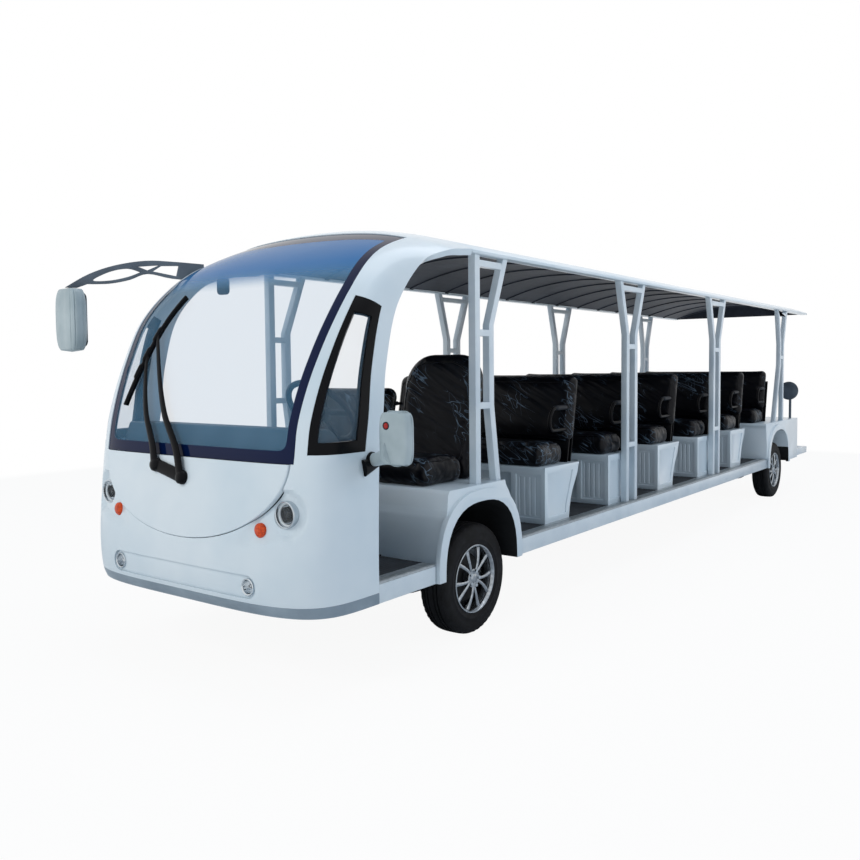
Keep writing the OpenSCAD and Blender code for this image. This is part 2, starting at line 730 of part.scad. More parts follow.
module cab_backs() {
  driver_top = deck_z + 665;
  color(black) {
    intersection() {
      back_rest(xf + cab_back_foot, deck_z, deck_z, driver_top, cab_back, driver_in, driver_out);
      along(xf - 600, xf + 300) polygon(rounded(driver_in, deck_z - 200, driver_out, driver_top, 170));
    }
    back_rest(xf + cab_back_foot, deck_z, deck_z, deck_z + 480, cab_back, -mate_out, -mate_in);
  }
}

// Dashboard with a rounded cowl, and the knee panel below it.
module dashboard() {
  front = front_overhang - 154;
  top = screen_bottom + 127;
  half = hw - 165;
  color(dark) difference() {
    union() {
      translate([xf, 0, 0]) across(-half, half) polygon(concat(
        [[front - 276, top - 229], [front - 276, top - 148]],
        bezier([front - 276, top - 148], [front - 215, top - 30], [front - 180, top],
          [front - 120, top], 8),
        [[front - 36, top], [front, top - 99], [front, top - 229]]));
      block(xf + front - 131, xf + front - 106, -half, half, floor_z, top - 219);
    }
    on_column(-200 - column_gap) cylinder(h = 200, r = column_r + column_gap);
  }
}

module on_column(d) {
  translate([hub_x, hub_y, hub_z]) rotate([0, -column_tilt, 0]) translate([0, 0, d]) children();
}

module steering_column() {
  color(dark) union() {
    on_column(-200) cylinder(h = 150, r = column_r);
    on_column(-60) cylinder(h = 45, r = 22);
  }
}

module steering_wheel() {
  grip = 14;
  ring = steering_wheel_diameter / 2 - grip;
  color(black) union() {
    on_column(0) rotate_extrude($fn = 96) translate([ring, 0]) circle(r = grip, $fn = 32);
    on_column(-14) cylinder(h = 30, r = 46);
    for (a = [-90, 90, 180])
      on_column(0) rotate([0, 0, a]) translate([30, -14, -7]) cube([ring - 30, 28, 12]);
  }
}

module rear_step() {
  treads = 6;
  tread_pitch = (step_depth - 130) / treads;
  color(white) union() {
    block(step_end, rear_end, 40 - hw, hw - 40, sill_z + 10, floor_z - 12);
    for (k = [0:treads - 1])
      translate([step_end + 60 + tread_pitch * k, 0, 0])
        block(0, 35, 90 - hw, hw - 90, floor_z - 20, floor_z - 8);
  }
}

module tail_lamps() {
  color([0.7, 0.08, 0.06]) both_sides() for (drop = [290, 200, 110])
    translate([rear_end, hw - 130, rear_deck_z - drop]) rotate([0, -90, 0])
      rotate_extrude() polygon([[0, 0], [38, 0], [38, 12], [20, 22], [0, 25]]);
}

mirror_in = hw + mirror_gap;
mirror_out = mirror_in + mirror_width;

// Rounded housing on a black bracket; the mirror face is set into its rear side.
module left_mirror() {
  head_x = xf + front_overhang - 305;
  head_z = screen_bottom + 103;
  head_in = mirror_out - 142;
  head_half = 33;
  foot_x = xf + door_x + 14;
  stay_y = hw + 60;
  color(grey) difference() {
    intersection() {
      across(head_in, mirror_out)
        polygon(rounded(head_x - head_half, head_z - 107, head_x + head_half, head_z + 107, 22));
      along(head_x - 60, head_x + 60)
        polygon(rounded(head_in, head_z - 107, mirror_out, head_z + 107, 34));
    }
    block(head_x - 60, head_x - head_half + 6, head_in + 14, mirror_out - 14, head_z - 90, head_z + 90);
  }
  color(black) union() {
    block(foot_x - 20, foot_x + 20, hw, hw + 10, screen_bottom - 47, screen_bottom + 43);
    translate([foot_x, hw + 5, screen_bottom + 13]) rotate([-90, 0, 0])
      cylinder(h = stay_y - hw + 15, r = 11);
    block(foot_x - 11, head_x, stay_y, stay_y + 22, screen_bottom + 2, screen_bottom + 24);
    block(head_x - 22, head_x, stay_y, head_in + 3, screen_bottom + 2, screen_bottom + 24);
  }
}

right_head = [xf + front_overhang - 110, -mirror_in - mirror_width / 2, roof_edge - 316];
right_root = cab_point(7.25, -0.66);
arm_run = [right_head.x - right_root.x, right_head.y - right_root.y];
arm_reach = norm(arm_run);
arm_drop = right_head.z + 160 - right_root.z;

// Flat twin-bar arm: the bars cross once and leave three openings between them. Heights follow the
// line from the root to the top of the mirror.
module right_mirror_arm() {
  function at(f, z) = [arm_reach * f, z + arm_drop * f * f];
  top = spline_list([at(-0.06, 44), at(0.2, 54), at(0.42, 66), at(0.66, 62), at(0.86, 44),
    at(1.02, 12)], 4);
  seat = [[arm_reach * 1.04, arm_drop], [arm_reach * 0.95, arm_drop]];
  low = spline_list([at(0.87, -4), at(0.79, -16), at(0.68, -26), at(0.54, -22), at(0.4, -2), at(0.2, -34),
    at(-0.06, -44)], 4);
  lens = [at(0.46, 10), at(0.56, 36), at(0.7, 34), at(0.83, 8), at(0.7, -10), at(0.56, -6), at(0.46, 10)];
  color(grey) difference() {
    translate(right_root) rotate([0, 0, atan2(arm_run.y, arm_run.x)]) rotate([90, 0, 0])
      translate([0, 0, -9]) linear_extrude(height = 18) difference() {
        polygon(concat(top, seat, low));
        polygon(spline_list(lens, 4));
        polygon([at(0.48, 40), at(0.31, 38), at(0.405, 16)]);
        polygon([at(0.36, 8), at(0.29, 34), at(0.15, 32), at(0.17, -22)]);
      }
    cab_panel(function(i, j) in_rows(i, quarter_u1, 9) && j < half_count - 2, -0.3, 120);
  }
}

// Housing with three upright grooves on its front and the mirror face set into its rear.
module right_mirror() {
  depth = 45;
  half = mirror_width / 2;
  color(grey) translate(right_head) difference() {
    intersection() {
      along(-60, 60) polygon(rounded(-half, -160, half, 159.7, 62, 6));
      translate([0, 0, -170]) linear_extrude(height = 340) difference() {
        polygon(rounded(-depth, -half, depth, half, 30, 6));
        for (f = [-0.4, 0, 0.4]) translate([depth, half * f]) circle(r = 8, $fn = 24);
      }
    }
    block(-60, 6 - depth, 16 - half, half - 16, -138, 138);
  }
}

// Mirror inside the windscreen on a short stalk from the shell, beside the right pillar.
module inner_mirror() {
  foot = cab_skin(7.75, -0.68, shell_wall);
  color(black) union() {
    translate([foot.x, foot.y, foot.z - 60]) cylinder(h = 54.3, r = 7);
    translate([foot.x - 4, foot.y, foot.z - 92]) along(-9, 9)
      polygon(rounded(-42, -46, 42, 46, 24));
  }
}

module corner_mirrors() {
  x = rear_end + 50;
  color(dark) both_sides() {
    translate([x, pillar_in, rear_deck_z]) cylinder(h = 305, r = 13);
    translate([x, pillar_in, rear_deck_z + 290]) rotate([0, 90, 0]) cylinder(h = 40, r = 10);
    translate([x + 34, pillar_in, rear_deck_z + 290]) rotate([0, 90, 0]) rotate_extrude()
      polygon([[0, 0], [60, 0], [96, 20], [96, 28], [84, 30], [0, 40]]);
  }
}

// Blade carried by two arms side by side, each on its own spindle in the front panel.
module wiper() {
  lift = 22;
  function bead(u, t) = cab_skin(u, t, -lift);
  function run(a, b, steps) = [for (k = [0:steps]) let (p = mix(a, b, k / steps)) bead(p[0], p[1])];
  spindles = [[2.85, -0.161], [2.73, -0.007]];
  blade = run([4.1, -0.364], [6.3, -0.275], 6);
  arms = [run(spindles[0], [5.1, -0.3236], 4), run(spindles[1], [5.5, -0.3074], 4)];
  color(black) union() {
    for (line = concat([blade], arms))
      for (k = [0:len(line) - 2]) hull() {
        translate(line[k]) sphere(r = 8, $fn = 10);
        translate(line[k + 1]) sphere(r = 8, $fn = 10);
      }
    for (s = spindles) hull() {
      translate(cab_skin(s[0], s[1], -17.1)) sphere(r = 13, $fn = 10);
      translate(bead(s[0], s[1])) sphere(r = 13, $fn = 10);
    }
  }
}

module battery_pack() {
  inner = rail_y - rail_w / 2;
  color(dark) for (k = [1:2])
    block(row_x(k + 1) + row_cross + 30, row_x(k) + row_cross - 30, -inner, inner,
      sill_z - 50, floor_z - 18);
}

module front_axle() {
  color(dark) difference() {
    union() {
      block(xf - 28, xf + 28, -kingpin_y, kingpin_y, tyre_r - 28, tyre_r + 28);
      both_sides() translate([xf, kingpin_y, tyre_r - 28]) cylinder(h = 56, r = 26);
    }
    both_sides() translate([xf, kingpin_y, tyre_r - 60]) cylinder(h = 120, r = kingpin_r + running_gap);
  }
}

module rear_axle() {
  color(dark) union() {
    cross_bar(xr, tyre_r, 2 * wheel_y + 40, stub_r);
    cross_bar(xr, tyre_r, 2 * wheel_y - 180, 36);
    cross_bar(xr, tyre_r, 140, 92);
    translate([xr + 60, 0, tyre_r - 8]) rotate([0, 90, 0]) cylinder(h = rear_arch_a + 8, r = 88);
  }
}

// Spring packs slung below the axles, each clamped to its axle and hung from the rail at both ends.
module leaf_spring(x) {
  difference() {
    union() {
      translate([x, 0, 0]) across(spring_y - 30, spring_y + 30) polygon(concat(
        bezier([-460, tyre_r + 40], [-200, tyre_r - 110], [200, tyre_r - 110], [460, tyre_r + 40], 12),
        bezier([460, tyre_r + 26], [200, tyre_r - 150], [-200, tyre_r - 150], [-460, tyre_r + 26], 12)));
      block(x - 45, x + 45, spring_y - 36, spring_y + 36, tyre_r - 96, tyre_r - 15);
      for (end = [-1, 1])
        translate([x + end * 455, 0, 0])
          block(-22, 22, rail_y + rail_w / 2, spring_y + 34, tyre_r + 18, floor_z - 30);
    }
    children();
  }
}

module leaf_springs() {
  color(dark) both_sides() {
    leaf_spring(xf) block(xf - 60, xf + 60, spring_y - 60, spring_y + 60, tyre_r - 28, tyre_r + 28);
    leaf_spring(xr) translate([xr, spring_y - 60, tyre_r]) rotate([-90, 0, 0]) cylinder(h = 120, r = 36);
  }
}

// Yoke that turns about the kingpin and carries the wheel on a stub axle.
module knuckle() {
  translate([xf, kingpin_y, tyre_r]) union() {
    translate([0, 0, -50]) cylinder(h = 100, r = kingpin_r);
    for (z = [-54, 32]) translate([0, 0, z]) cylinder(h = 22, r = 30);
    block(-30, 30, 30, 44, -54, 54);
    for (z = [-54, 32]) block(-30, 30, 0, 40, z, z + 22);
    translate([0, 40, 0]) rotate([-90, 0, 0]) cylinder(h = 42, r = stub_r);
  }
}

module knuckle_left() {
  color(dark) knuckle();
}

module knuckle_right() {
  color(dark) mirror([0, 1, 0]) knuckle();
}

// Tyre turned about the wheel's axle, drawn for a wheel whose outer face looks to the left.
module tyre() {
  w = tyre_width / 2;
  wall_r = mix(rim_lip_r, tyre_r, 0.5);
  half = [[rim_r + 4, w - 18], [rim_lip_r + 3, w - 6], [wall_r, w], [tyre_r - 20, w - 8],
    [tyre_r - 4, w - 22]];
  color(black) rotate([-90, 0, 0]) rotate_extrude($fn = 72)
    polygon(concat(half, [[tyre_r, 0]], [for (p = reversed(half)) [p.x, -p.y]]));
}

// Alloy rim: barrel, hub with a blind bore for the stub axle, and twin spokes near the outer face.
module rim() {
  w = tyre_width / 2;
  tip = rim_r - 4;
  spoke = [[29, 9.6], [(tip + 2) * cos(20), (tip + 2) * sin(20)], [tip * cos(14.5), tip * sin(14.5)]];
  barrel = [[rim_r - 8, w - 14], [rim_lip_r, w - 2], [rim_lip_r + 3, w - 6], [rim_r + 4, w - 18]];
  color(silver) rotate([-90, 0, 0]) difference() {
    union() {
      rotate_extrude($fn = 72) polygon(concat(barrel, [for (p = reversed(barrel)) [p.x, -p.y]]));
      translate([0, 0, 8]) cylinder(h = w - 20, r = 46);
      translate([0, 0, 8]) cylinder(h = w - 14, r = 27);
      for (k = [0:spoke_count - 1])
        rotate([0, 0, 360 * k / spoke_count]) translate([0, 0, w - 36]) linear_extrude(height = 20)
          polygon(concat(spoke, [[54, 0]], [for (p = reversed(spoke)) [p.x, -p.y]]));
    }
    translate([0, 0, -10]) cylinder(h = 58, r = stub_r + running_gap);
  }
}

module wheel_place(x, side) {
  translate([x, side * wheel_y, tyre_r]) mirror([0, side < 0 ? 1 : 0, 0]) children();
}

module tyre_front_left() {
  wheel_place(xf, 1) tyre();
}

module tyre_front_right() {
  wheel_place(xf, -1) tyre();
}

module tyre_rear_left() {
  wheel_place(xr, 1) tyre();
}

module tyre_rear_right() {
  wheel_place(xr, -1) tyre();
}

module rim_front_left() {
  wheel_place(xf, 1) rim();
}

module rim_front_right() {
  wheel_place(xf, -1) rim();
}

module rim_rear_left() {
  wheel_place(xr, 1) rim();
}

module rim_rear_right() {
  wheel_place(xr, -1) rim();
}

chassis_frame();
floor_deck();
side_sills();
step_nosings();
front_shell();
front_panel();
bumper_lip();
fog_strip();
windscreen();
quarter_frames();
quarter_glass();
dashboard();
steering_column();
front_housing();
rear_housing();
front_pillars();
middle_pillars();
rear_pillars();
roof_skin();
roof_lining();
bench_bases();
bench_cushions();
bench_backs();
bench_frames();
cab_cushions();
cab_backs();
rear_step();
tail_lamps();
headlamps();
indicators();
fog_lamps();
lamp_lenses();
left_mirror();
right_mirror_arm();
right_mirror();
inner_mirror();
corner_mirrors();
wiper();
battery_pack();
front_axle();
rear_axle();
leaf_springs();
knuckle_left();
knuckle_right();
tyre_front_left();
tyre_front_right();
tyre_rear_left();
tyre_rear_right();
rim_front_left();
rim_front_right();
rim_rear_left();
rim_rear_right();
steering_wheel();
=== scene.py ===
# %% [markdown]
# # Open-sided electric shuttle bus
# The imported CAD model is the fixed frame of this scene: every piece keeps its place and its size. This
# file dresses it. Flat CAD parts get softened edges, the moulded cab is rebuilt as a smooth skin from
# the same rule, the seats become stuffed forms, and every surface gets a material made of nodes.

# %% Load the frame
import math

import bmesh
import bpy
import numpy as np
from mathutils import Matrix, Vector


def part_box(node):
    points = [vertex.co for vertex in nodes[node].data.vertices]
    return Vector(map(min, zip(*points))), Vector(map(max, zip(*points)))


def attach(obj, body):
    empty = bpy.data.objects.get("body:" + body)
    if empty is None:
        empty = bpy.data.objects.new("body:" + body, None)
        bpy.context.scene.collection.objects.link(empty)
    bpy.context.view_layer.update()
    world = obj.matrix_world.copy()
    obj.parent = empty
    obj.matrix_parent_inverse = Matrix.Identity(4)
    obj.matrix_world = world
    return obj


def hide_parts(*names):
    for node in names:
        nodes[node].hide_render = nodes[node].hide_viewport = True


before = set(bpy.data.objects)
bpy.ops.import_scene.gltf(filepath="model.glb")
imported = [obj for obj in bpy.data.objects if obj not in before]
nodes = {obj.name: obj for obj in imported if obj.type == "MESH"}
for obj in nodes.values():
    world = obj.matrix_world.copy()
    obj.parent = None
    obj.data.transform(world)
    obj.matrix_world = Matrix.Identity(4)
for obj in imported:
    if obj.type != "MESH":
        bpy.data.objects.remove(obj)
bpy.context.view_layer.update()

scene = bpy.context.scene

# %% [markdown]
# ## Camera
# The view was worked out from the wheels, the sills and the roof edges: the camera stands a little
# higher than the steering wheel, in front of the left corner, and looks almost level. A small lens
# shift keeps the framing.

# %% Camera
photo_side = 860
focal_pixels, middle_pixel_x, middle_pixel_y = 850.505, 457.792, 412.243
camera_ahead, camera_left, camera_height = 3.4348, 3.0956, 1.3178
yaw, pitch, roll = (math.radians(a) for a in (35.5535, 2.9879, -0.4228))
axle_low, axle_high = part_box("front_axle")
front_axle_x = (axle_low.x + axle_high.x) / 2
level_ahead = Vector((-math.cos(yaw), -math.sin(yaw), 0))
level_right = Vector((-math.sin(yaw), math.cos(yaw), 0))
up = Vector((0, 0, 1))
ahead = level_ahead * math.cos(pitch) - up * math.sin(pitch)
tilted_up = up * math.cos(pitch) + level_ahead * math.sin(pitch)
camera_right = level_right * math.cos(roll) + tilted_up * math.sin(roll)
camera_up = tilted_up * math.cos(roll) - level_right * math.sin(roll)

lens = bpy.data.cameras.new("photo_lens")
lens.sensor_fit, lens.sensor_width = "HORIZONTAL", 36
lens.lens = focal_pixels / photo_side * lens.sensor_width
lens.shift_x = (photo_side / 2 - middle_pixel_x) / photo_side
lens.shift_y = (middle_pixel_y - photo_side / 2) / photo_side
lens.clip_end = 200
camera = bpy.data.objects.new("photo_camera", lens)
scene.collection.objects.link(camera)
turn = Matrix((camera_right, camera_up, -ahead)).transposed().to_4x4()
camera.matrix_world = Matrix.Translation((front_axle_x + camera_ahead, camera_left, camera_height)) @ turn
scene.camera = camera
print(f"camera {lens.lens:.1f} mm at {[round(x, 2) for x in camera.location]}")

# %% [markdown]
# ## Helpers for nodes and colours
# Colours are written as the sRGB hex values that a paint chart would give, and one function turns them
# to the linear values that Blender's sockets hold. One function adds any node with its settings, values
# and links.


# %% Colour and node helpers
def linear(hex_colour):
    parts = [int(hex_colour[k : k + 2], 16) / 255 for k in (1, 3, 5)]
    return tuple(c / 12.92 if c <= 0.04045 else ((c + 0.055) / 1.055) ** 2.4 for c in parts) + (1.0,)


def add_node(tree, kind, inputs=None, to=None, **settings):
    """Adds a node with its settings, values and links, and may link its first output on to a socket."""
    node = tree.nodes.new(kind)
    for name, value in settings.items():
        setattr(node, name, value)
    for name, value in (inputs or {}).items():
        if isinstance(value, bpy.types.NodeSocket):
            tree.links.new(value, node.inputs[name])
        else:
            node.inputs[name].default_value = value
    if to is not None:
        tree.links.new(node.outputs[0], to)
    return node


def new_finish(name, hex_colour, **sockets):
    """A material with one Principled shader; its plain values are set on the shader's own sockets."""
    finish = bpy.data.materials.new(name)
    finish.use_nodes = True
    tree = finish.node_tree
    shader = tree.nodes["Principled BSDF"]
    shader.inputs["Base Color"].default_value = linear(hex_colour)
    for socket, value in sockets.items():
        shader.inputs[socket.replace("_", " ").title().replace("Ior", "IOR")].default_value = value
    place = add_node(tree, "ShaderNodeTexCoord").outputs["Object"]
    return finish, tree, shader, place


def two_tone(tree, shader, factor, dark, light, low=0.0, high=1.0):
    """Drives the shader's colour from dark to light as the factor goes from low to high."""
    ramp = add_node(tree, "ShaderNodeValToRGB", {"Fac": factor})
    for element, position, colour in zip(ramp.color_ramp.elements, (low, high), (dark, light)):
        element.position, element.color = position, linear(colour)
    tree.links.new(ramp.outputs["Color"], shader.inputs["Base Color"])


print("helpers ready")

# %% [markdown]
# ## Gelcoat and painted steel
# The cab, the benches and the wheel housings are glass-fibre mouldings with a sprayed gelcoat: very
# smooth, a little wavy, with a clear gloss on top. The tubes and the sills are steel with a cool white
# paint, a touch duller.

# %% Gelcoat and paint
gelcoat, tree, shader, place = new_finish(
    "gelcoat_white", "#D3E0E8", roughness=0.3, coat_weight=0.3, coat_roughness=0.08)
cloud = add_node(tree, "ShaderNodeTexNoise", {"Vector": place, "Scale": 2.2, "Detail": 3.0})
two_tone(tree, shader, cloud.outputs["Fac"], "#C9D9E3", "#DDE7ED", 0.3, 0.7)
# Orange peel is about 6 mm; it is drawn at 30 mm so that it shows as a slight waviness in the gloss.
peel = add_node(tree, "ShaderNodeTexNoise", {"Vector": place, "Scale": 33.0, "Detail": 1.0})
relief = {"Height": peel.outputs["Fac"], "Strength": 0.05, "Distance": 0.002}
add_node(tree, "ShaderNodeBump", relief, to=shader.inputs["Normal"])

steel_paint, tree, shader, place = new_finish(
    "painted_steel_white", "#D2DDE5", roughness=0.34, coat_weight=0.35, coat_roughness=0.15)
cloud = add_node(tree, "ShaderNodeTexNoise", {"Vector": place, "Scale": 5.0, "Detail": 4.0})
two_tone(tree, shader, cloud.outputs["Fac"], "#C3D1DB", "#DAE4EA", 0.3, 0.7)
peel = add_node(tree, "ShaderNodeTexNoise", {"Vector": place, "Scale": 90.0, "Detail": 2.0})
relief = {"Height": peel.outputs["Fac"], "Strength": 0.08, "Distance": 0.001}
add_node(tree, "ShaderNodeBump", relief, to=shader.inputs["Normal"])
print("finishes:", gelcoat.name, steel_paint.name)

# %% [markdown]
# ## Plastics
# The bumper lip and the mirror housings are polypropylene with a fine moulded grain, in a blue grey.
# Window frames, wiper and dashboard are black ABS; the dashboard has a leather-like grain.


# %% Moulded plastics
def moulded_plastic(name, dark, light, roughness, grain_mm, strength, gloss=0.5):
    """A moulded plastic with a stipple whose pits are grain_mm apart."""
    finish, tree, shader, place = new_finish(name, light, roughness=roughness, specular_ior_level=gloss)
    cloud = add_node(tree, "ShaderNodeTexNoise", {"Vector": place, "Scale": 7.0, "Detail": 4.0})
    two_tone(tree, shader, cloud.outputs["Fac"], dark, light, 0.3, 0.7)
    grain = add_node(tree, "ShaderNodeTexVoronoi", {"Vector": place, "Scale": 1000.0 / grain_mm})
    relief = {"Height": grain.outputs["Distance"], "Strength": strength, "Distance": 0.001}
    add_node(tree, "ShaderNodeBump", relief, to=shader.inputs["Normal"])
    return finish


# Real grain is about 0.5 mm; 4 to 6 mm is the finest that shows at this picture size.
grey_plastic = moulded_plastic("polypropylene_blue_grey", "#7C8C99", "#93A2AE", 0.4, 5.0, 0.08)
dark_plastic = moulded_plastic("polypropylene_slate_grey", "#47505A", "#626D78", 0.42, 5.0, 0.08, 0.3)
pale_plastic = moulded_plastic("polypropylene_pale_grey", "#98A8AE", "#AFBDC2", 0.34, 5.0, 0.05)
black_abs = moulded_plastic("abs_black_satin", "#040508", "#0A0B0F", 0.3, 4.0, 0.06, 0.1)
grained_black = moulded_plastic("abs_black_grained", "#12151B", "#20252D", 0.5, 6.0, 0.25, 0.2)
dash_plastic = moulded_plastic("abs_blue_grey_grained", "#33434F", "#475967", 0.5, 6.0, 0.2, 0.25)
chassis_paint = moulded_plastic("black_chassis_paint", "#0B0C0E", "#16181B", 0.6, 9.0, 0.2, 0.2)
plastics = (grey_plastic, dark_plastic, pale_plastic, black_abs, grained_black, dash_plastic, chassis_paint)
print("finishes:", ", ".join(m.name for m in plastics))

# %% [markdown]
# ## Glass
# The windscreen is blue tinted laminated glass. A printed navy border hides the glue: it is widest at
# the bottom, has round inner corners, and at the top a blue sun band fades into the clear part. The
# panel's own UV map holds, in metres, the distance from the side edge and from the bottom edge, so the
# border follows the glass. The small panes are plainly tinted, and the lamp lenses are clear
# polycarbonate.

# %% Tinted glass
screen_glass, tree, shader, place = new_finish(
    "laminated_glass_blue", "#6F9DC0", roughness=0.03, ior=1.5, specular_ior_level=0.14)
edge_map = add_node(tree, "ShaderNodeUVMap", uv_map="edge_distance").outputs["UV"]
edges = add_node(tree, "ShaderNodeSeparateXYZ", {"Vector": edge_map})
heights = add_node(tree, "ShaderNodeSeparateXYZ", {"Vector": place})
side_print, foot_print, print_corner, print_edge = 0.046, 0.052, 0.07, 0.002
side_clear = add_node(tree, "ShaderNodeMath", {0: edges.outputs["X"], 1: side_print}, operation="SUBTRACT")
foot_clear = add_node(tree, "ShaderNodeMath", {0: edges.outputs["Y"], 1: foot_print}, operation="SUBTRACT")
# A smooth minimum of the two distances rounds the border's inner corner by about 60 mm.
distances = {0: side_clear.outputs[0], 1: foot_clear.outputs[0], 2: print_corner}
inside = add_node(tree, "ShaderNodeMath", distances, operation="SMOOTH_MIN")
across_edge = {"From Min": -print_edge, "From Max": print_edge, "To Min": 1.0, "To Max": 0.0}
border = add_node(tree, "ShaderNodeMapRange", {"Value": inside.outputs[0], **across_edge})
band = {"Value": heights.outputs["Z"], "From Min": 1.68, "From Max": 1.80}
sun_band = add_node(tree, "ShaderNodeMapRange", band, interpolation_type="SMOOTHSTEP")
blues = {"Factor": sun_band.outputs["Result"], "A": linear("#6FA6CC"), "B": linear("#2E76B4")}
tint = add_node(tree, "ShaderNodeMix", blues, data_type="RGBA")
printed = {"Factor": border.outputs["Result"], "A": tint.outputs["Result"], "B": linear("#07173C")}
tint_print = add_node(tree, "ShaderNodeMix", printed, data_type="RGBA")
tree.links.new(tint_print.outputs["Result"], shader.inputs["Base Color"])
depth = {"Value": sun_band.outputs["Result"], "To Min": 0.16, "To Max": 0.84}
thick = add_node(tree, "ShaderNodeMapRange", depth)
either = {0: thick.outputs["Result"], 1: border.outputs["Result"]}
add_node(tree, "ShaderNodeMath", either, to=shader.inputs["Alpha"], operation="MAXIMUM")

pane_glass, tree, shader, place = new_finish(
    "toughened_glass_blue", "#7FA3BE", roughness=0.03, ior=1.5, alpha=0.12, specular_ior_level=0.3)
smear = add_node(tree, "ShaderNodeTexNoise", {"Vector": place, "Scale": 6.0})
two_tone(tree, shader, smear.outputs["Fac"], "#6F95B2", "#8DAFC7", 0.35, 0.65)
clear_lens, tree, shader, place = new_finish(
    "polycarbonate_clear", "#E9F0F4", roughness=0.03, ior=1.58, alpha=0.03, specular_ior_level=0.1)
flute = add_node(tree, "ShaderNodeTexWave", {"Vector": place, "Scale": 12.0}, bands_direction="Y")
relief = {"Height": flute.outputs["Fac"], "Strength": 0.05, "Distance": 0.001}
add_node(tree, "ShaderNodeBump", relief, to=shader.inputs["Normal"])
print("finishes:", screen_glass.name, pane_glass.name, clear_lens.name)


# %% [markdown]
# ## Metals, rubber, cloth and lamp lenses
# Reflector bowls are vacuum-metallised, the rims are cast aluminium under silver lacquer, the step
# edges are ribbed extruded aluminium. Floor and tyres are rubber, the ceiling is a stretched dark
# cloth.


# %% Metals
def metal(name, dark, light, roughness, scale, metallic=1.0):
    """A metal whose tone and relief vary with a noise of that scale."""
    finish, tree, shader, place = new_finish(name, light, roughness=roughness, metallic=metallic)
    streak = add_node(tree, "ShaderNodeTexNoise", {"Vector": place, "Scale": scale, "Detail": 5.0})
    two_tone(tree, shader, streak.outputs["Fac"], dark, light, 0.3, 0.7)
    relief = {"Height": streak.outputs["Fac"], "Strength": 0.06, "Distance": 0.001}
    add_node(tree, "ShaderNodeBump", relief, to=shader.inputs["Normal"])
    return finish


chrome = metal("chromed_reflector", "#B4BCC3", "#D3D9DE", 0.08, 3.0)
alloy = metal("cast_aluminium_lacquered", "#8D949B", "#B6BCC2", 0.26, 60.0)
nosing_metal = metal("extruded_aluminium", "#9BA3A9", "#B6BDC2", 0.38, 45.0)
mirror_metal = metal("silvered_mirror", "#AEB9C1", "#C3CCD2", 0.04, 3.0)
cast_iron = metal("cast_iron_brake_drum", "#141516", "#2A2C2E", 0.6, 30.0, metallic=0.6)
print("finishes:", ", ".join(m.name for m in (chrome, alloy, nosing_metal, mirror_metal, cast_iron)))

# %% Rubber and ceiling cloth
floor_rubber, tree, shader, place = new_finish(
    "ribbed_floor_rubber", "#2A2D34", roughness=0.75, specular_ior_level=0.2)
dust = add_node(tree, "ShaderNodeTexNoise", {"Vector": place, "Scale": 9.0, "Detail": 6.0})
two_tone(tree, shader, dust.outputs["Fac"], "#24272B", "#3A3F45", 0.3, 0.7)
# The mat has ribs every 24 mm along the bus: a wave of scale 1 repeats every 314 mm.
rib = add_node(tree, "ShaderNodeTexWave", {"Vector": place, "Scale": 13.21}, bands_direction="Y")
relief = {"Height": rib.outputs["Fac"], "Strength": 0.4, "Distance": 0.002}
add_node(tree, "ShaderNodeBump", relief, to=shader.inputs["Normal"])

tyre_rubber, tree, shader, place = new_finish("tyre_rubber", "#0E0F12", roughness=0.7, specular_ior_level=0.2)
dust = add_node(tree, "ShaderNodeTexNoise", {"Vector": place, "Scale": 25.0, "Detail": 6.0})
two_tone(tree, shader, dust.outputs["Fac"], "#08090B", "#17181C", 0.35, 0.75)
relief = {"Height": dust.outputs["Fac"], "Strength": 0.15, "Distance": 0.002}
add_node(tree, "ShaderNodeBump", relief, to=shader.inputs["Normal"])

ceiling_cloth, tree, shader, place = new_finish(
    "stretched_ceiling_cloth", "#2A2E38", roughness=0.6, specular_ior_level=0.25, sheen_weight=0.1)
# A distorted noise paints lighter and darker patches into the cloth's colour: painted sheen and painted fold
# shade.
sheen_noise_inputs = {"Vector": place, "Scale": 1.6, "Detail": 4.0, "Distortion": 1.2}
painted_sheen_and_fold_shade = add_node(tree, "ShaderNodeTexNoise", sheen_noise_inputs)
two_tone(tree, shader, painted_sheen_and_fold_shade.outputs["Fac"], "#1E212A", "#3B414D", 0.3, 0.7)
# The weave is about 1 mm; it is drawn at 8 mm so that it shows.
weave = add_node(tree, "ShaderNodeTexVoronoi", {"Vector": place, "Scale": 125.0}, distance="CHEBYCHEV")
relief = {"Height": weave.outputs["Distance"], "Strength": 0.12, "Distance": 0.002}
add_node(tree, "ShaderNodeBump", relief, to=shader.inputs["Normal"])
print("finishes:", floor_rubber.name, tyre_rubber.name, ceiling_cloth.name)


# %% Lamp lenses
def lamp_plastic(name, dark, light, prism_mm):
    """A coloured lens with prisms moulded behind it, prism_mm apart."""
    finish, tree, shader, place = new_finish(
        name, light, roughness=0.2, coat_weight=0.15, specular_ior_level=0.3)
    spacing = {"Vector": place, "Scale": 1000.0 / prism_mm}
    cells = add_node(tree, "ShaderNodeTexVoronoi", spacing, distance="CHEBYCHEV")
    two_tone(tree, shader, cells.outputs["Distance"], light, dark, 0.1, 0.8)
    relief = {"Height": cells.outputs["Distance"], "Strength": 0.25, "Distance": 0.002}
    add_node(tree, "ShaderNodeBump", relief, to=shader.inputs["Normal"])
    return finish


amber_lens = lamp_plastic("acrylic_orange_lens", "#A82E04", "#E8500A", 9.0)
red_lens = lamp_plastic("acrylic_red_lens", "#6E0B0B", "#B3201A", 9.0)
print("finishes:", amber_lens.name, red_lens.name)
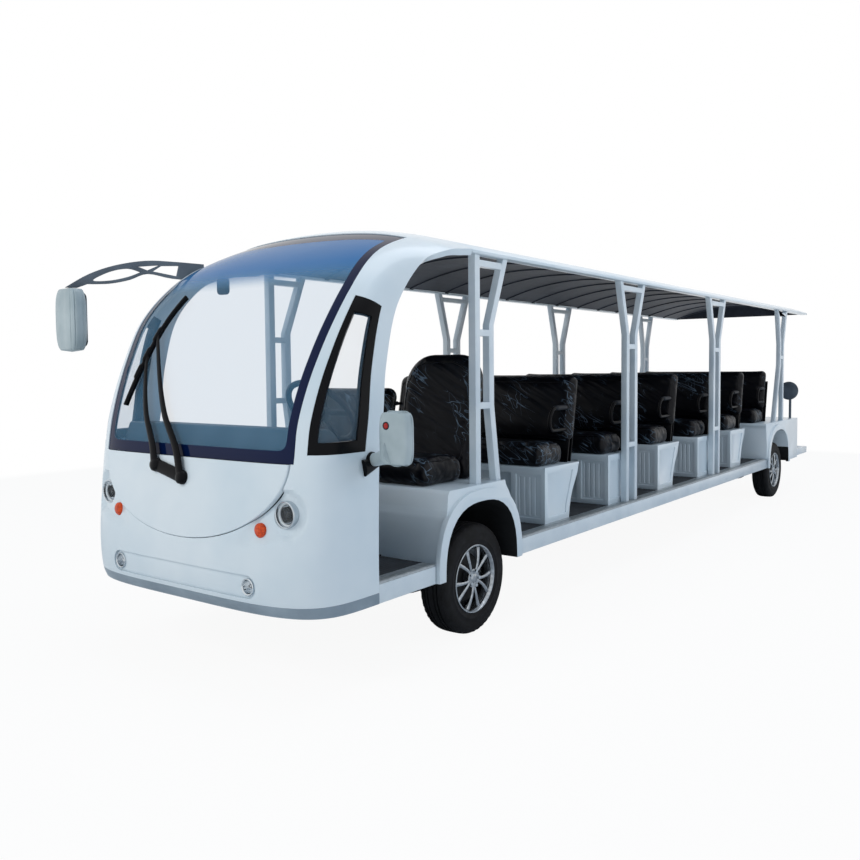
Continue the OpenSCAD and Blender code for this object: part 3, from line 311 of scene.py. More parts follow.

# %% [markdown]
# ## Seat cover
# The seats are black artificial leather with a tight glossy surface. Crinkles catch the sky as thin
# pale streaks, and these are painted reflections in the base colour. A streak is drawn where a
# stretched noise passes its middle value, which gives long thin lines, and a second noise keeps them
# to some patches only. The same stretched noise also shapes the relief of the folds.

# %% Seat cover
seat_vinyl, tree, shader, place = new_finish(
    "artificial_leather_black", "#05060C",
    roughness=0.36, specular_ior_level=0.16, coat_weight=0.06, coat_roughness=0.1)


def crinkle_and_reflection_streak(turn, scale, width):
    """Thin lines of painted reflection where a stretched noise passes its middle value, and that noise."""
    slant = add_node(tree, "ShaderNodeMapping", {"Vector": place, "Rotation": turn})
    drawn = add_node(tree, "ShaderNodeMapping", {"Vector": slant.outputs["Vector"], "Scale": scale})
    waves = {"Vector": drawn.outputs["Vector"], "Scale": 1.0, "Detail": 1.4, "Distortion": 0.3}
    swell = add_node(tree, "ShaderNodeTexNoise", waves)
    offset = add_node(tree, "ShaderNodeMath", {0: swell.outputs["Fac"], 1: 0.5}, operation="SUBTRACT")
    away = add_node(tree, "ShaderNodeMath", {0: offset.outputs[0]}, operation="ABSOLUTE")
    thin = {"Value": away.outputs[0], "From Max": width, "To Min": 1.0, "To Max": 0.0}
    line = add_node(tree, "ShaderNodeMapRange", thin)
    return line.outputs["Result"], swell.outputs["Fac"]


# Crinkles are 20 to 40 mm apart and up to 300 mm long; their pale streaks are painted reflections of the sky.
reflection_streak_a, swell_a = crinkle_and_reflection_streak((0.55, 0.5, 0.3), (14.0, 2.2, 20.0), 0.016)
reflection_streak_b, _ = crinkle_and_reflection_streak((1.05, -0.4, -0.3), (16.0, 2.8, 26.0), 0.012)
streak_patch_noise = add_node(tree, "ShaderNodeTexNoise", {"Vector": place, "Scale": 4.5, "Detail": 2.0})
limits = {"Value": streak_patch_noise.outputs["Fac"], "From Min": 0.44, "From Max": 0.60}
streak_patches = add_node(tree, "ShaderNodeMapRange", limits)
reflection_streak_lines = add_node(tree, "ShaderNodeMath", {0: reflection_streak_a, 1: reflection_streak_b}, operation="MAXIMUM")
factors = {0: reflection_streak_lines.outputs[0], 1: streak_patches.outputs["Result"]}
painted_reflection_streaks = add_node(tree, "ShaderNodeMath", factors, operation="MULTIPLY")
# The streak mask paints pale blue-grey reflections of the sky into the black colour.
two_tone(tree, shader, painted_reflection_streaks.outputs[0], "#05060C", "#6C8092", 0.15, 1.0)
grain = add_node(tree, "ShaderNodeTexVoronoi", {"Vector": place, "Scale": 220.0})
fold = add_node(tree, "ShaderNodeBump", {"Height": swell_a, "Strength": 0.5, "Distance": 0.03})
relief = {"Height": grain.outputs["Distance"], "Strength": 0.06, "Distance": 0.001,
          "Normal": fold.outputs["Normal"]}
add_node(tree, "ShaderNodeBump", relief, to=shader.inputs["Normal"])
print("finish:", seat_vinyl.name)

# %% [markdown]
# ## Pieces from the frame
# A CAD node arrives as loose triangles with knife edges. For painted and moulded parts a copy is
# merged, flat triangles are joined to plain faces, the edges get a small bevel, and the copy stands for
# the node. Real mouldings and tubes have such edges, and they are what catches the light.


# %% Helpers for pieces
def settle(piece):
    """Applies a piece's modifiers, so that a plain mesh is left."""
    mesh = bpy.data.meshes.new_from_object(piece.evaluated_get(bpy.context.evaluated_depsgraph_get()))
    piece.modifiers.clear()
    piece.data = mesh
    return piece


def smooth_by_angle(mesh, degrees=35):
    mesh.shade_smooth()
    mesh.set_sharp_from_angle(angle=math.radians(degrees))


def new_piece(name, mesh, finish):
    piece = bpy.data.objects.new(name, mesh)
    scene.collection.objects.link(piece)
    mesh.materials.clear()
    mesh.materials.append(finish)
    return piece


def fit(piece, body, slot, *stands_for):
    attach(piece, body)
    if stands_for:
        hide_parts(*stands_for)
    return piece
def dress(name, mesh, finish, slot, *stands_for, body="bus"):
    """A new piece from a mesh, with its finish, riding on its body."""
    return fit(new_piece(name, mesh, finish), body, slot, *stands_for)
def join_meshes(name, meshes):
    work = bmesh.new()
    for mesh in meshes:
        work.from_mesh(mesh)
    joined = bpy.data.meshes.new(name)
    work.to_mesh(joined)
    work.free()
    smooth_by_angle(joined, 40)
    return joined


def chamfered_box(size, chamfer):
    work = bmesh.new()
    bmesh.ops.create_cube(work, size=1.0)
    for v in work.verts:
        v.co = Vector((v.co.x * size[0], v.co.y * size[1], v.co.z * size[2]))
    bmesh.ops.bevel(work, geom=work.edges[:], offset=chamfer, segments=1, affect="EDGES")
    mesh = bpy.data.meshes.new("chamfered_box")
    work.to_mesh(mesh)
    work.free()
    return mesh


def softened(node, finish, slot, width, body="bus", degrees=40):
    """A copy of a CAD node with its sharp edges bevelled by width."""
    mesh = nodes[node].data.copy()
    work = bmesh.new()
    work.from_mesh(mesh)
    bmesh.ops.remove_doubles(work, verts=work.verts, dist=2e-5)
    bmesh.ops.dissolve_limit(work, angle_limit=math.radians(0.6), verts=work.verts, edges=work.edges)
    work.to_mesh(mesh)
    work.free()
    piece = new_piece(node + "_soft", mesh, finish)
    rounding = piece.modifiers.new("rounding", "BEVEL")
    rounding.width, rounding.segments, rounding.limit_method = width, 2, "ANGLE"
    rounding.angle_limit, rounding.harden_normals = math.radians(degrees), False
    settle(piece)
    smooth_by_angle(piece.data, 32)
    return fit(piece, body, slot, node)


print("piece helpers ready")

# %% Softened mouldings and tubes
sill_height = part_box("side_sills")[0].z
soft_nodes = (
    ("bench_bases", gelcoat, "white_shell", 0.006),
    ("front_housing", gelcoat, "white_shell", 0.007),
    ("rear_housing", gelcoat, "white_shell", 0.007),
    ("rear_step", steel_paint, "white_steel", 0.005),
    ("side_sills", steel_paint, "white_steel", 0.004),
    ("front_pillars", steel_paint, "white_steel", 0.005),
    ("middle_pillars", steel_paint, "white_steel", 0.005),
    ("rear_pillars", steel_paint, "white_steel", 0.005),
    ("roof_skin", gelcoat, "white_shell", 0.006),
    ("right_mirror_arm", dark_plastic, "grey_moulding", 0.004),
    ("dashboard", dash_plastic, "black_plastic", 0.008),
    ("bench_frames", black_abs, "black_plastic", 0.003),
    ("headlamps", chrome, "lamp_chrome", 0.0008),
    ("fog_lamps", chrome, "lamp_chrome", 0.0008),
    ("indicators", amber_lens, "lamp_amber", 0.0008),
    ("lamp_lenses", clear_lens, "lamp_clear", 0.0008),
    ("corner_mirrors", dark_plastic, "black_plastic", 0.002),
    ("inner_mirror", black_abs, "black_plastic", 0.004),
    ("steering_column", grained_black, "black_plastic", 0.003),
    ("steering_wheel", grained_black, "black_plastic", 0.003),
)
moving = {"steering_wheel": "steering"}
for node, finish, slot, width in soft_nodes:
    piece = softened(node, finish, slot, width, moving.get(node, "bus"))
    print(f"{piece.name}: {len(piece.data.polygons)} faces")

# %% Dark wheel pockets
rear_low, rear_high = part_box("tyre_rear_left")
rear_axle_x = (rear_low.x + rear_high.x) / 2
pocket_inner, arch_face = 0.42, 0.755
pocket_half, pocket_tall = 0.345, 0.362
for node, axle_x in (("front_housing", front_axle_x), ("rear_housing", rear_axle_x)):
    mesh = scene.objects[node + "_soft"].data
    mesh.materials.append(chassis_paint)
    dark = 0
    for face in mesh.polygons:
        c = face.center
        near = math.hypot((c.x - axle_x) / pocket_half, (c.z - sill_height) / pocket_tall) < 1
        if near and pocket_inner < abs(c.y) < arch_face:
            face.material_index = 1
            dark += 1
    print(f"{node}: {dark} faces of the wheel pockets are dark")

# %% Finishes of the nodes that stay as they are
kept_nodes = {
    "chassis_frame": chassis_paint, "floor_deck": floor_rubber, "step_nosings": nosing_metal,
    "roof_lining": ceiling_cloth, "tail_lamps": red_lens, "battery_pack": chassis_paint,
    "front_axle": chassis_paint, "rear_axle": chassis_paint, "leaf_springs": chassis_paint,
    "knuckle_left": chassis_paint, "knuckle_right": chassis_paint,
}
for node, finish in kept_nodes.items():
    mesh = nodes[node].data
    mesh.materials.clear()
    mesh.materials.append(finish)
print(f"{len(kept_nodes)} nodes keep their mesh and get a finish")

# %% [markdown]
# ## The moulded cab
# On the real bus the nose, the windscreen pillars and the front of the roof are one moulding, and the
# glass lies in the same surface. The rule is a sheet over u, which climbs from the bumper to the roof,
# and t, which runs across: a middle profile, a door-edge profile, and a squircle between them. The CAD
# model uses the same rule with few facets; here it is drawn finely, so that reflections run smoothly.

# %% The cab's rule
half_width, roof_half = 0.775, 0.765
sill_z, screen_foot, roof_edge, roof_crown = 0.33, 0.942, 1.888, 2.033
roof_lead, nose_reach, door_reach = 0.04, 1.19, 0.763


def profile(reach, steps, top, climbs):
    """Side view of the cab at one width: x ahead of the axle and z at each knot."""
    lows = [sill_z, sill_z + 0.07, sill_z + 0.41 * (screen_foot - sill_z), screen_foot]
    heights = lows + [screen_foot + c * (top - screen_foot) for c in climbs]
    return np.array([(roof_lead + f * (reach - roof_lead), z) for f, z in zip(steps, heights)])


nose_line = profile(
    nose_reach, (0.978, 1, 0.993, 0.943, 0.913, 0.8435, 0.739, 0.574, 0.361, 0.174, 0),
    roof_crown, (0.172, 0.383, 0.594, 0.791, 0.9285, 0.98, 1))
door_line = profile(
    door_reach, (1, 1, 1, 0.985, 0.945, 0.909, 0.798, 0.553, 0.29, 0.111, 0),
    roof_edge, (0.199, 0.421, 0.685, 0.892, 0.97, 0.9915, 1))
corner_power = np.array([4.5, 4.5, 5, 6, 6, 5.5, 5, 4, 3.4, 3, 2.6])
roof_blend = np.array([0, 0, 0, 0, 0, 0, 0.02, 0.2, 0.55, 0.85, 1])
last_u = len(nose_line) - 1.0


def spline(knots, u):
    """Smooth curve through the knots, one step of u from each to the next."""
    i = np.clip(np.floor(u).astype(int), 0, len(knots) - 2)
    f = u - i
    if knots.ndim > 1:
        f = f[..., None]
    a, b = knots[np.maximum(i - 1, 0)], knots[i]
    c, d = knots[i + 1], knots[np.minimum(i + 2, len(knots) - 1)]
    return 0.5 * (2 * b + (c - a) * f + (2 * a - 5 * b + 4 * c - d) * f**2 + (3 * b - a - 3 * c + d) * f**3)


def cab_point(u, t):
    u, t = np.broadcast_arrays(np.asarray(u, float), np.asarray(t, float))
    centre, side = spline(nose_line, u), spline(door_line, u)
    power, blend = spline(corner_power, u), np.clip(spline(roof_blend, u), 0, 1)
    a = np.radians(90 * np.minimum(1, np.abs(t)))
    r = (np.abs(np.cos(a)) ** power + np.sin(a) ** power) ** (-1 / power)
    h = r * np.sin(a) * (1 - blend) + np.abs(t) * blend
    g = (1 - r * np.cos(a)) * (1 - blend) + t * t * blend
    half = half_width + (roof_half - half_width) * np.clip((u - 4) / 4, 0, 1)
    x = front_axle_x + centre[..., 0] + (side[..., 0] - centre[..., 0]) * g
    z = centre[..., 1] + (side[..., 1] - centre[..., 1]) * g
    return np.stack([x, np.sign(t) * half * h, z], -1)


def cab_normal(u, t):
    e = 0.004
    climb = cab_point(np.minimum(last_u, u + e), t) - cab_point(np.maximum(0, u - e), t)
    across = cab_point(u, np.minimum(1, t + e)) - cab_point(u, np.maximum(-1, t - e))
    out = np.cross(across, climb)
    out[..., 0] = np.where(u > last_u - e, 0, out[..., 0])
    return out / np.linalg.norm(out, axis=-1, keepdims=True)


print("nose at", np.round(cab_point(1.0, 0.0), 3), "roof joint at", np.round(cab_point(last_u, 0.0), 3))

# %% [markdown]
# ## Panels of the cab
# A grid of cells over u and t is shared by all panels. Each panel keeps its own cells, gets an inner
# skin below the outer one, and walls along its border. The border is drawn in by half a millimetre,
# which leaves the seams open.

# %% Panel grid
screen_u, screen_top_u = 3, 8.15
quarter_u0, pane_u0, pane_u1, quarter_u1 = 3.15, 3.4, 5.78, 6.05
cab_rows = [0, 0.4, 0.8, 1.15, 1.5, 1.85, 2.2, 2.5, 2.75, screen_u, quarter_u0, pane_u0, 3.7, 4.1, 4.55, 5,
            5.4, pane_u1, quarter_u1, 6.35, 6.7, 7.1, 7.55, screen_top_u, 8.5, 9, 9.5, 10]
half_count, screen_cols, quarter_first, quarter_last = 15, 5, 7, 14
screen_edge = np.array([0.455, 0.456, 0.478, 0.515, 0.562, 0.666])
front_bar, rear_bar, pillar_gap = 0.033, 0.085, 0.04
seam, wall, fine = 0.0005, 0.032, 6


def half_columns(u):
    """Columns from the middle to the door edge: windscreen, pillar, quarter window and its frame."""
    climb = np.clip((u - screen_u) / (screen_top_u - screen_u), 0, 1)
    middle = float(spline(screen_edge, np.array(5 * climb)))
    rear = 0.85 - 0.055 * np.clip((u - quarter_u0) / (quarter_u1 - quarter_u0), 0, 1) ** 2
    front = middle + pillar_gap
    first, last = front + front_bar, rear - rear_bar
    pane = [first + (last - first) * f for f in (0, 0.16, 0.35, 0.57, 0.79, 1)]
    screen = [f * middle for f in (0, 0.27, 0.52, 0.72, 0.88, 1)]
    return screen + [middle + pillar_gap / 2, front] + pane + [rear, 1]


def row_lift(u, t):
    """The quarter window's top edge falls to the rear: rows near it rise in front and sink behind."""
    near = np.maximum(0, 1 - np.abs(u - quarter_u1) / 1.05)
    return 0.11 * near * (1 - 2 * np.clip((np.abs(t) - 0.53) / 0.27, 0, 1))


def panel_mesh(name, keep, outer, inner, fine, inset=0.0, dent=None):
    """Mesh of one cab panel between two depths below the surface, with fine cells to each CAD cell."""
    rows = len(cab_rows) - 1
    u = np.interp(np.linspace(0, rows, rows * fine + 1), range(rows + 1), cab_rows)
    column = np.linspace(-half_count, half_count, 2 * half_count * fine + 1)
    marks = range(half_count + 1)
    t = np.stack([np.interp(np.abs(column), marks, half_columns(x)) * np.sign(column) for x in u])
    u = np.repeat(u[:, None], t.shape[1], 1)
    u = u + row_lift(u, t)
    band = [half_count - 1 - j if j < half_count else j - half_count for j in range(2 * half_count)]
    coarse = np.array([[keep(u0, u1, k) for k in band] for u0, u1 in zip(cab_rows, cab_rows[1:])])
    kept = np.pad(np.repeat(np.repeat(coarse, fine, 0), fine, 1).astype(int), 1)
    q00, q01, q10, q11 = kept[:-1, :-1], kept[:-1, 1:], kept[1:, :-1], kept[1:, 1:]
    lean_u, lean_t = np.sign(q10 + q11 - q00 - q01), np.sign(q01 + q11 - q00 - q10)
    step = 0.01
    here = cab_point(u, t)
    metres_u = np.linalg.norm(cab_point(u + step * lean_u, t) - here, axis=-1) / step
    metres_t = np.linalg.norm(cab_point(u, t + step * lean_t) - here, axis=-1) / step
    u_in = u + lean_u * inset / np.maximum(metres_u, 1e-3)
    t_in = t + lean_t * inset / np.maximum(metres_t, 1e-3)
    surface, out = cab_point(u_in, t_in), cab_normal(u_in, t_in)
    sink = outer + (dent(surface) if dent else 0) * np.ones(u.shape)
    skins = np.stack([surface - out * sink[..., None], surface - out * inner])
    index = np.arange(skins.shape[0] * u.size).reshape(2, *u.shape)
    faces = []
    for i, j in zip(*np.nonzero(kept[1:-1, 1:-1])):
        a, b, c, d = (i, j), (i, j + 1), (i + 1, j + 1), (i + 1, j)
        faces.append([index[0][p] for p in (a, b, c, d)])
        faces.append([index[1][p] for p in (d, c, b, a)])
        sides = ((a, b, (i, j + 1)), (b, c, (i + 1, j + 2)), (c, d, (i + 2, j + 1)), (d, a, (i + 1, j)))
        for p, q, neighbour in sides:
            if not kept[neighbour]:
                faces.append([index[0][q], index[0][p], index[1][p], index[1][q]])
    used, packed = np.unique(np.array(faces), return_inverse=True)
    mesh = bpy.data.meshes.new(name)
    mesh.from_pydata(skins.reshape(-1, 3)[used].tolist(), [], packed.reshape(-1, 4).tolist())
    smooth_by_angle(mesh)
    return mesh, used, surface


def rows_between(low, high):
    return lambda u0, u1: u0 >= low - 0.001 and u1 <= high + 0.001


on_lip, on_screen = rows_between(0, 0.8), rows_between(screen_u, screen_top_u)
on_quarter, on_pane = rows_between(quarter_u0, quarter_u1), rows_between(pane_u0, pane_u1)


def is_screen(u0, u1, k):
    return on_screen(u0, u1) and k < screen_cols


def is_quarter(u0, u1, k):
    return on_quarter(u0, u1) and quarter_first <= k < quarter_last


def is_pane(u0, u1, k):
    return on_pane(u0, u1) and quarter_first < k < quarter_last - 1


def is_frame(u0, u1, k):
    return is_quarter(u0, u1, k) and not is_pane(u0, u1, k)


def is_shell(u0, u1, k):
    return not (on_lip(u0, u1) or is_screen(u0, u1, k) or is_quarter(u0, u1, k))


print(f"{len(cab_rows) - 1} by {2 * half_count} cells on the cab")

# %% [markdown]
# ## Shell with its lamp hollows
# Each headlamp sits in a shallow hollow that tapers down to the indicator, like the corner of an eye.
# The hollow is pressed into the fine grid. The holes for the lamps and the U-shaped panel are then cut
# with solid tools, because they are round in the front view and cross the grid.

# %% Shell
headlamp = np.array([front_axle_x + 1.111, 0.600, 0.742])
indicator = np.array([front_axle_x + 1.141, 0.484, 0.673])
fog_lamp = np.array([front_axle_x + 1.166, 0.436, 0.443])
smile_half = float(cab_point(3.0, 0.445)[1])
smile_depth = 0.342


def smooth_step(x):
    x = np.clip(x, 0, 1)
    return x * x * (3 - 2 * x)


def lamp_hollow(points):
    """Depth of the hollow round a headlamp, which narrows towards the indicator below it."""
    flat = np.stack([np.abs(points[..., 1]), points[..., 2]], -1)
    start, end = headlamp[1:], indicator[1:] + np.array([-0.085, -0.045])
    run = end - start
    f = np.clip(((flat - start) @ run) / (run @ run), 0, 1)
    away = np.linalg.norm(flat - (start + f[..., None] * run), axis=-1)
    radius = 0.108 - 0.092 * f
    depth = 0.023 - 0.014 * f
    return depth * smooth_step((radius - away) / (0.24 * radius)) * (points[..., 0] > front_axle_x + 0.8)


def prism(name, outline, x0, x1):
    """Solid with the outline seen from the front, from x0 to x1."""
    work = bmesh.new()
    face = work.faces.new([work.verts.new((x0, y, z)) for y, z in outline])
    grown = bmesh.ops.extrude_face_region(work, geom=[face])["geom"]
    lifted = [v for v in grown if isinstance(v, bmesh.types.BMVert)]
    bmesh.ops.translate(work, vec=(x1 - x0, 0, 0), verts=lifted)
    bmesh.ops.recalc_face_normals(work, faces=work.faces)
    mesh = bpy.data.meshes.new(name)
    work.to_mesh(mesh)
    work.free()
    return mesh


def ring_outline(y, z, r, count=64):
    angles = [2 * math.pi * k / count for k in range(count)]
    return [(y + r * math.cos(a), z + r * math.sin(a)) for a in angles]


def slot_outline(half, z, r, count=24):
    right = [(half + r * math.sin(a), z + r * math.cos(a)) for a in np.linspace(0, math.pi, count)]
    return right + [(-y, 2 * z - h) for y, h in right]


def carve(piece, outlines, x0, x1, operation="DIFFERENCE"):
    for outline in outlines:
        tool = bpy.data.objects.new("cutting_tool", prism("cutting_tool", outline, x0, x1))
        scene.collection.objects.link(tool)
        cut = piece.modifiers.new("cut", "BOOLEAN")
        cut.operation, cut.object, cut.solver = operation, tool, "EXACT"
        settle(piece)
        bpy.data.objects.remove(tool)
    smooth_by_angle(piece.data)
    return piece


smile_angles = np.linspace(0, math.pi, 160)
smile = [(smile_half * math.cos(a), screen_foot - smile_depth * math.sin(a)) for a in smile_angles]
bored = ((headlamp, 0.056), (indicator, 0.030))
bores = [ring_outline(s * p[1], p[2], r) for p, r in bored for s in (-1, 1)]
nose_from, nose_to = front_axle_x + 0.76, front_axle_x + 1.3
shell_mesh, _, _ = panel_mesh("cab_shell", is_shell, 0, wall, fine, 0, lamp_hollow)
cab_shell = dress("cab_shell", shell_mesh, gelcoat, "white_shell", "front_shell")
carve(cab_shell, [smile, slot_outline(fog_lamp[1], fog_lamp[2], 0.048)] + bores, nose_from, nose_to)
print(f"cab shell: {len(cab_shell.data.polygons)} faces")

# %% [markdown]
# ## Nose panel, fog strip and bumper lip
# Below the windscreen the height of a point fixes its u, so the surface can be read as x over y and z.
# The U-shaped panel stands 5 mm proud and has a rolled edge; its grid follows the U, so that the edge
# stays clean.


# %% Nose panel
def nose_x(y, z):
    """x of the cab's surface at y and z, for heights below the windscreen."""
    u_table = np.linspace(0, 3, 400)
    u = np.interp(z, spline(nose_line, u_table)[:, 1], u_table)
    power = spline(corner_power, u)
    bulge = 1 - (1 - np.minimum(np.abs(y) / half_width, 1) ** power) ** (1 / power)
    centre, side = spline(nose_line, u)[..., 0], spline(door_line, u)[..., 0]
    return front_axle_x + centre + (side - centre) * bulge


def grid_mesh(name, rings):
    """Quads between rings of points; each ring has the same number of points."""
    rings = np.asarray(rings, float)
    count, width = rings.shape[:2]
    faces = [(i * width + j, i * width + j + 1, (i + 1) * width + j + 1, (i + 1) * width + j)
             for i in range(count - 1) for j in range(width - 1)]
    mesh = bpy.data.meshes.new(name)
    mesh.from_pydata(rings.reshape(-1, 3).tolist(), [], faces)
    work = bmesh.new()
    work.from_mesh(mesh)
    bmesh.ops.remove_doubles(work, verts=work.verts, dist=1e-6)
    bmesh.ops.recalc_face_normals(work, faces=work.faces)
    work.to_mesh(mesh)
    work.free()
    return mesh


sides = np.sin(np.linspace(-math.pi / 2, math.pi / 2, 141))
edge_start, panel_gap = 0.972, 0.0006
# Share of the U's size and height above the shell: the panel's flat, then its rolled edge and its wall.
flat_part = [(v, 0.005) for v in np.linspace(0.001, edge_start, 40)]
rolled_edge = [(0.978, 0.0058), (0.984, 0.0056), (0.989, 0.0035), (0.991, 0.0002), (0.991, -0.02)]
rings = []
for share, rise in flat_part + rolled_edge:
    y = (smile_half - panel_gap) * sides * max(share, edge_start)
    drop = (smile_depth - panel_gap) * np.sqrt(np.maximum(0, 1 - sides**2)) * share
    z = screen_foot - 0.001 - drop
    rings.append(np.stack([nose_x(y, z) + rise, y, z], -1))
nose_panel = dress("nose_panel", grid_mesh("nose_panel", rings), gelcoat, "white_shell", "front_panel")
smooth_by_angle(nose_panel.data, 50)
print(f"nose panel: {len(nose_panel.data.polygons)} faces, U {2 * smile_half:.2f} m wide")

# %% Fog strip and bumper lip
on_strip = rows_between(0.8, 1.85)


def is_strip(u0, u1, k):
    return on_strip(u0, u1) and k < quarter_first


def is_lip(u0, u1, k):
    return on_lip(u0, u1)


strip_mesh, _, _ = panel_mesh("fog_recess", is_strip, 0.012, wall, fine)
fog_recess = dress("fog_recess", strip_mesh, gelcoat, "white_shell", "fog_strip")
carve(fog_recess, [slot_outline(fog_lamp[1], fog_lamp[2], 0.0475)], nose_from, nose_to, "INTERSECT")
carve(fog_recess, [ring_outline(s * fog_lamp[1], fog_lamp[2], 0.036) for s in (-1, 1)], nose_from, nose_to)
lip_mesh, _, _ = panel_mesh("bumper_edge", is_lip, 0, wall, fine, seam)
dress("bumper_edge", lip_mesh, grey_plastic, "grey_moulding", "bumper_lip")
print(f"fog recess {len(fog_recess.data.polygons)} faces, bumper edge {len(lip_mesh.polygons)} faces")

# %% [markdown]
# ## Windscreen and quarter windows
# The windscreen keeps a UV map with the distance in metres from its side edge and from its bottom edge.

# %% Glass panels
screen_mesh, used, surface = panel_mesh("windscreen_pane", is_screen, 0.004, 0.011, fine, seam)
column_run = np.cumsum(np.linalg.norm(np.diff(surface, axis=1, prepend=surface[:, :1]), axis=-1), axis=1)
row_run = np.cumsum(np.linalg.norm(np.diff(surface, axis=0, prepend=surface[:1]), axis=-1), axis=0)
middle, fine_band = fine * half_count, fine * screen_cols
right_run, left_run = column_run[:, [middle - fine_band]], column_run[:, [middle + fine_band]]
side_gap = np.minimum(column_run - right_run, left_run - column_run)
foot_gap = row_run - row_run[[fine * cab_rows.index(screen_u)]]
# The print is wider along the top, so the top edge's distance counts for less than the sides'.
top_gap = row_run[[fine * cab_rows.index(screen_top_u)]] - row_run
side_gap = np.minimum(side_gap, 0.42 * top_gap)
flat_uv = np.stack([side_gap, foot_gap], -1).reshape(-1, 2)
vertex_uv = flat_uv[used % flat_uv.shape[0]]
uv_layer = screen_mesh.uv_layers.new(name="edge_distance")
corner_vertex = np.zeros(len(screen_mesh.loops), int)
screen_mesh.loops.foreach_get("vertex_index", corner_vertex)
uv_layer.data.foreach_set("uv", vertex_uv[corner_vertex].astype(np.float32).ravel())
dress("windscreen_pane", screen_mesh, screen_glass, "tinted_glass", "windscreen")
frame_mesh, _, _ = panel_mesh("quarter_surround", is_frame, 0.002, 0.028, fine, seam)
dress("quarter_surround", frame_mesh, black_abs, "black_frame", "quarter_frames")
pane_mesh, _, _ = panel_mesh("quarter_pane", is_pane, 0.010, 0.016, 4, seam)
dress("quarter_pane", pane_mesh, pane_glass, "tinted_glass", "quarter_glass")
print(f"windscreen {len(screen_mesh.polygons)} faces, side gap up to {side_gap[60].max():.2f} m")

# %% [markdown]
# ## Stuffed seats
# Cushions and backs are foam in a sewn cover. Each form starts a little smaller than its solid, is
# remeshed to even cells, and is blown up by a short cloth simulation, so that its faces crown and its
# sides pull in between the corners. Bench rows are alike, so one simulated form is set down at every
# row.


# %% Stuffed forms
def rounded_block(size, edge, top_corner=0.0):
    """Closed box with rounded edges, standing on z = 0; seen from ahead, its top corners may be rounder."""
    work = bmesh.new()
    bmesh.ops.create_cube(work, size=1.0)
    for v in work.verts:
        v.co = Vector((v.co.x * size[0], v.co.y * size[1], (v.co.z + 0.5) * size[2]))
    if top_corner:
        tops = [e for e in work.edges if all(v.co.z > size[2] / 2 for v in e.verts)]
        corners = [e for e in tops if abs(e.verts[0].co.y - e.verts[1].co.y) < 1e-6]
        bmesh.ops.bevel(work, geom=corners, offset=top_corner, segments=8, profile=0.5, affect="EDGES")
    rims = [e for e in work.edges if e.calc_face_angle(0) > 0.6]
    bmesh.ops.bevel(work, geom=rims, offset=edge, segments=4, profile=0.5, affect="EDGES")
    bmesh.ops.triangulate(work, faces=work.faces)
    mesh = bpy.data.meshes.new("block")
    work.to_mesh(mesh)
    work.free()
    return mesh


def stuffed(name, size, edge, voxel, cap, top_corner=0.0):
    """Mesh of a stuffed form: remeshed, blown up by cloth pressure, and no point moved further than cap."""
    piece = new_piece(name, rounded_block(size, edge, top_corner), seat_vinyl)
    even = piece.modifiers.new("even_cells", "REMESH")
    even.mode, even.voxel_size, even.use_smooth_shade = "VOXEL", voxel, True
    settle(piece)
    start = np.empty(len(piece.data.vertices) * 3, np.float32)
    piece.data.vertices.foreach_get("co", start)
    cover = piece.modifiers.new("cover", "CLOTH")
    cover.settings.quality, cover.settings.mass = 4, 0.3
    cover.settings.tension_stiffness = cover.settings.compression_stiffness = 12
    cover.settings.bending_stiffness = 0.4
    cover.settings.use_pressure, cover.settings.uniform_pressure_force = True, 4.0
    cover.settings.effector_weights.gravity = 0
    cover.point_cache.frame_end = 20
    for step in range(1, 21):
        scene.frame_set(step)
    settle(piece)
    end = np.empty_like(start)
    piece.data.vertices.foreach_get("co", end)
    start, end = start.reshape(-1, 3), end.reshape(-1, 3)
    move = end - start
    far = np.linalg.norm(move, axis=1, keepdims=True)
    move *= np.minimum(1, cap / np.maximum(far, 1e-9))
    # The underside rests on its base, so it stays flat there.
    move[:, 2] *= np.clip(start[:, 2] / 0.04, 0, 1)
    piece.data.vertices.foreach_set("co", (start + move).astype(np.float32).ravel())
    scene.frame_set(1)
    finer = piece.modifiers.new("finer", "SUBSURF")
    finer.levels = finer.render_levels = 1
    settle(piece)
    mesh = piece.data
    bpy.data.objects.remove(piece)
    mesh.shade_smooth()
    print(f"{name}: {len(mesh.polygons)} faces")
    return mesh


def leaning(lean):
    """Shear that moves a point back by lean for each metre of height."""
    slope = Matrix.Identity(4)
    slope[0][2] = -lean
    return slope


def set_down(name, mesh, node, place, lean=0.0, stretch=(1, 1, 1)):
    """A padded piece: the form stretched, leant back by lean, and moved to its place."""
    copy = mesh.copy()
    copy.transform(Matrix.Diagonal((*stretch, 1)))
    copy.transform(Matrix.Translation(place) @ leaning(lean))
    piece = dress(name, copy, seat_vinyl, "black_vinyl", node)
    return piece


row_fronts = [front_axle_x - 0.765 - 0.822 * k for k in range(6)]
row_decks = [0.745] * 5 + [0.760]
back_lean, swell, rest_gap = 0.2, 0.008, 0.001
bench_depth, back_half, back_foot = 0.378, 0.045, 0.12
cushion_size = (0.302 - 2 * swell, 1.38 - 2 * swell, 0.128 - swell)
back_size = (2 * back_half - 2 * swell, 1.40 - 2 * swell, 0.415 - 2 * swell)
cushion_form = stuffed("bench_cushion_form", cushion_size, 0.042, 0.011, 0.016)
back_form = stuffed("bench_back_form", back_size, 0.034, 0.012, 0.012, 0.05)
bench_seats, bench_backs = [], []
for k, (front, deck) in enumerate(zip(row_fronts, row_decks)):
    at = (front - 0.137, 0, deck + rest_gap)
    bench_seats.append(set_down(f"bench_cushion_{k + 1}", cushion_form, "bench_cushions", at))
    # The last row's back is a little narrower and lower than the others.
    shrink = (1, 1, 1) if k < 5 else (1, 0.957, 0.964)
    at = (front - bench_depth - back_lean * back_foot + back_half, 0, deck + back_foot + swell)
    bench_backs.append(set_down(f"bench_back_{k + 1}", back_form, "bench_backs", at, back_lean, shrink))
print(f"{len(bench_seats)} bench rows")

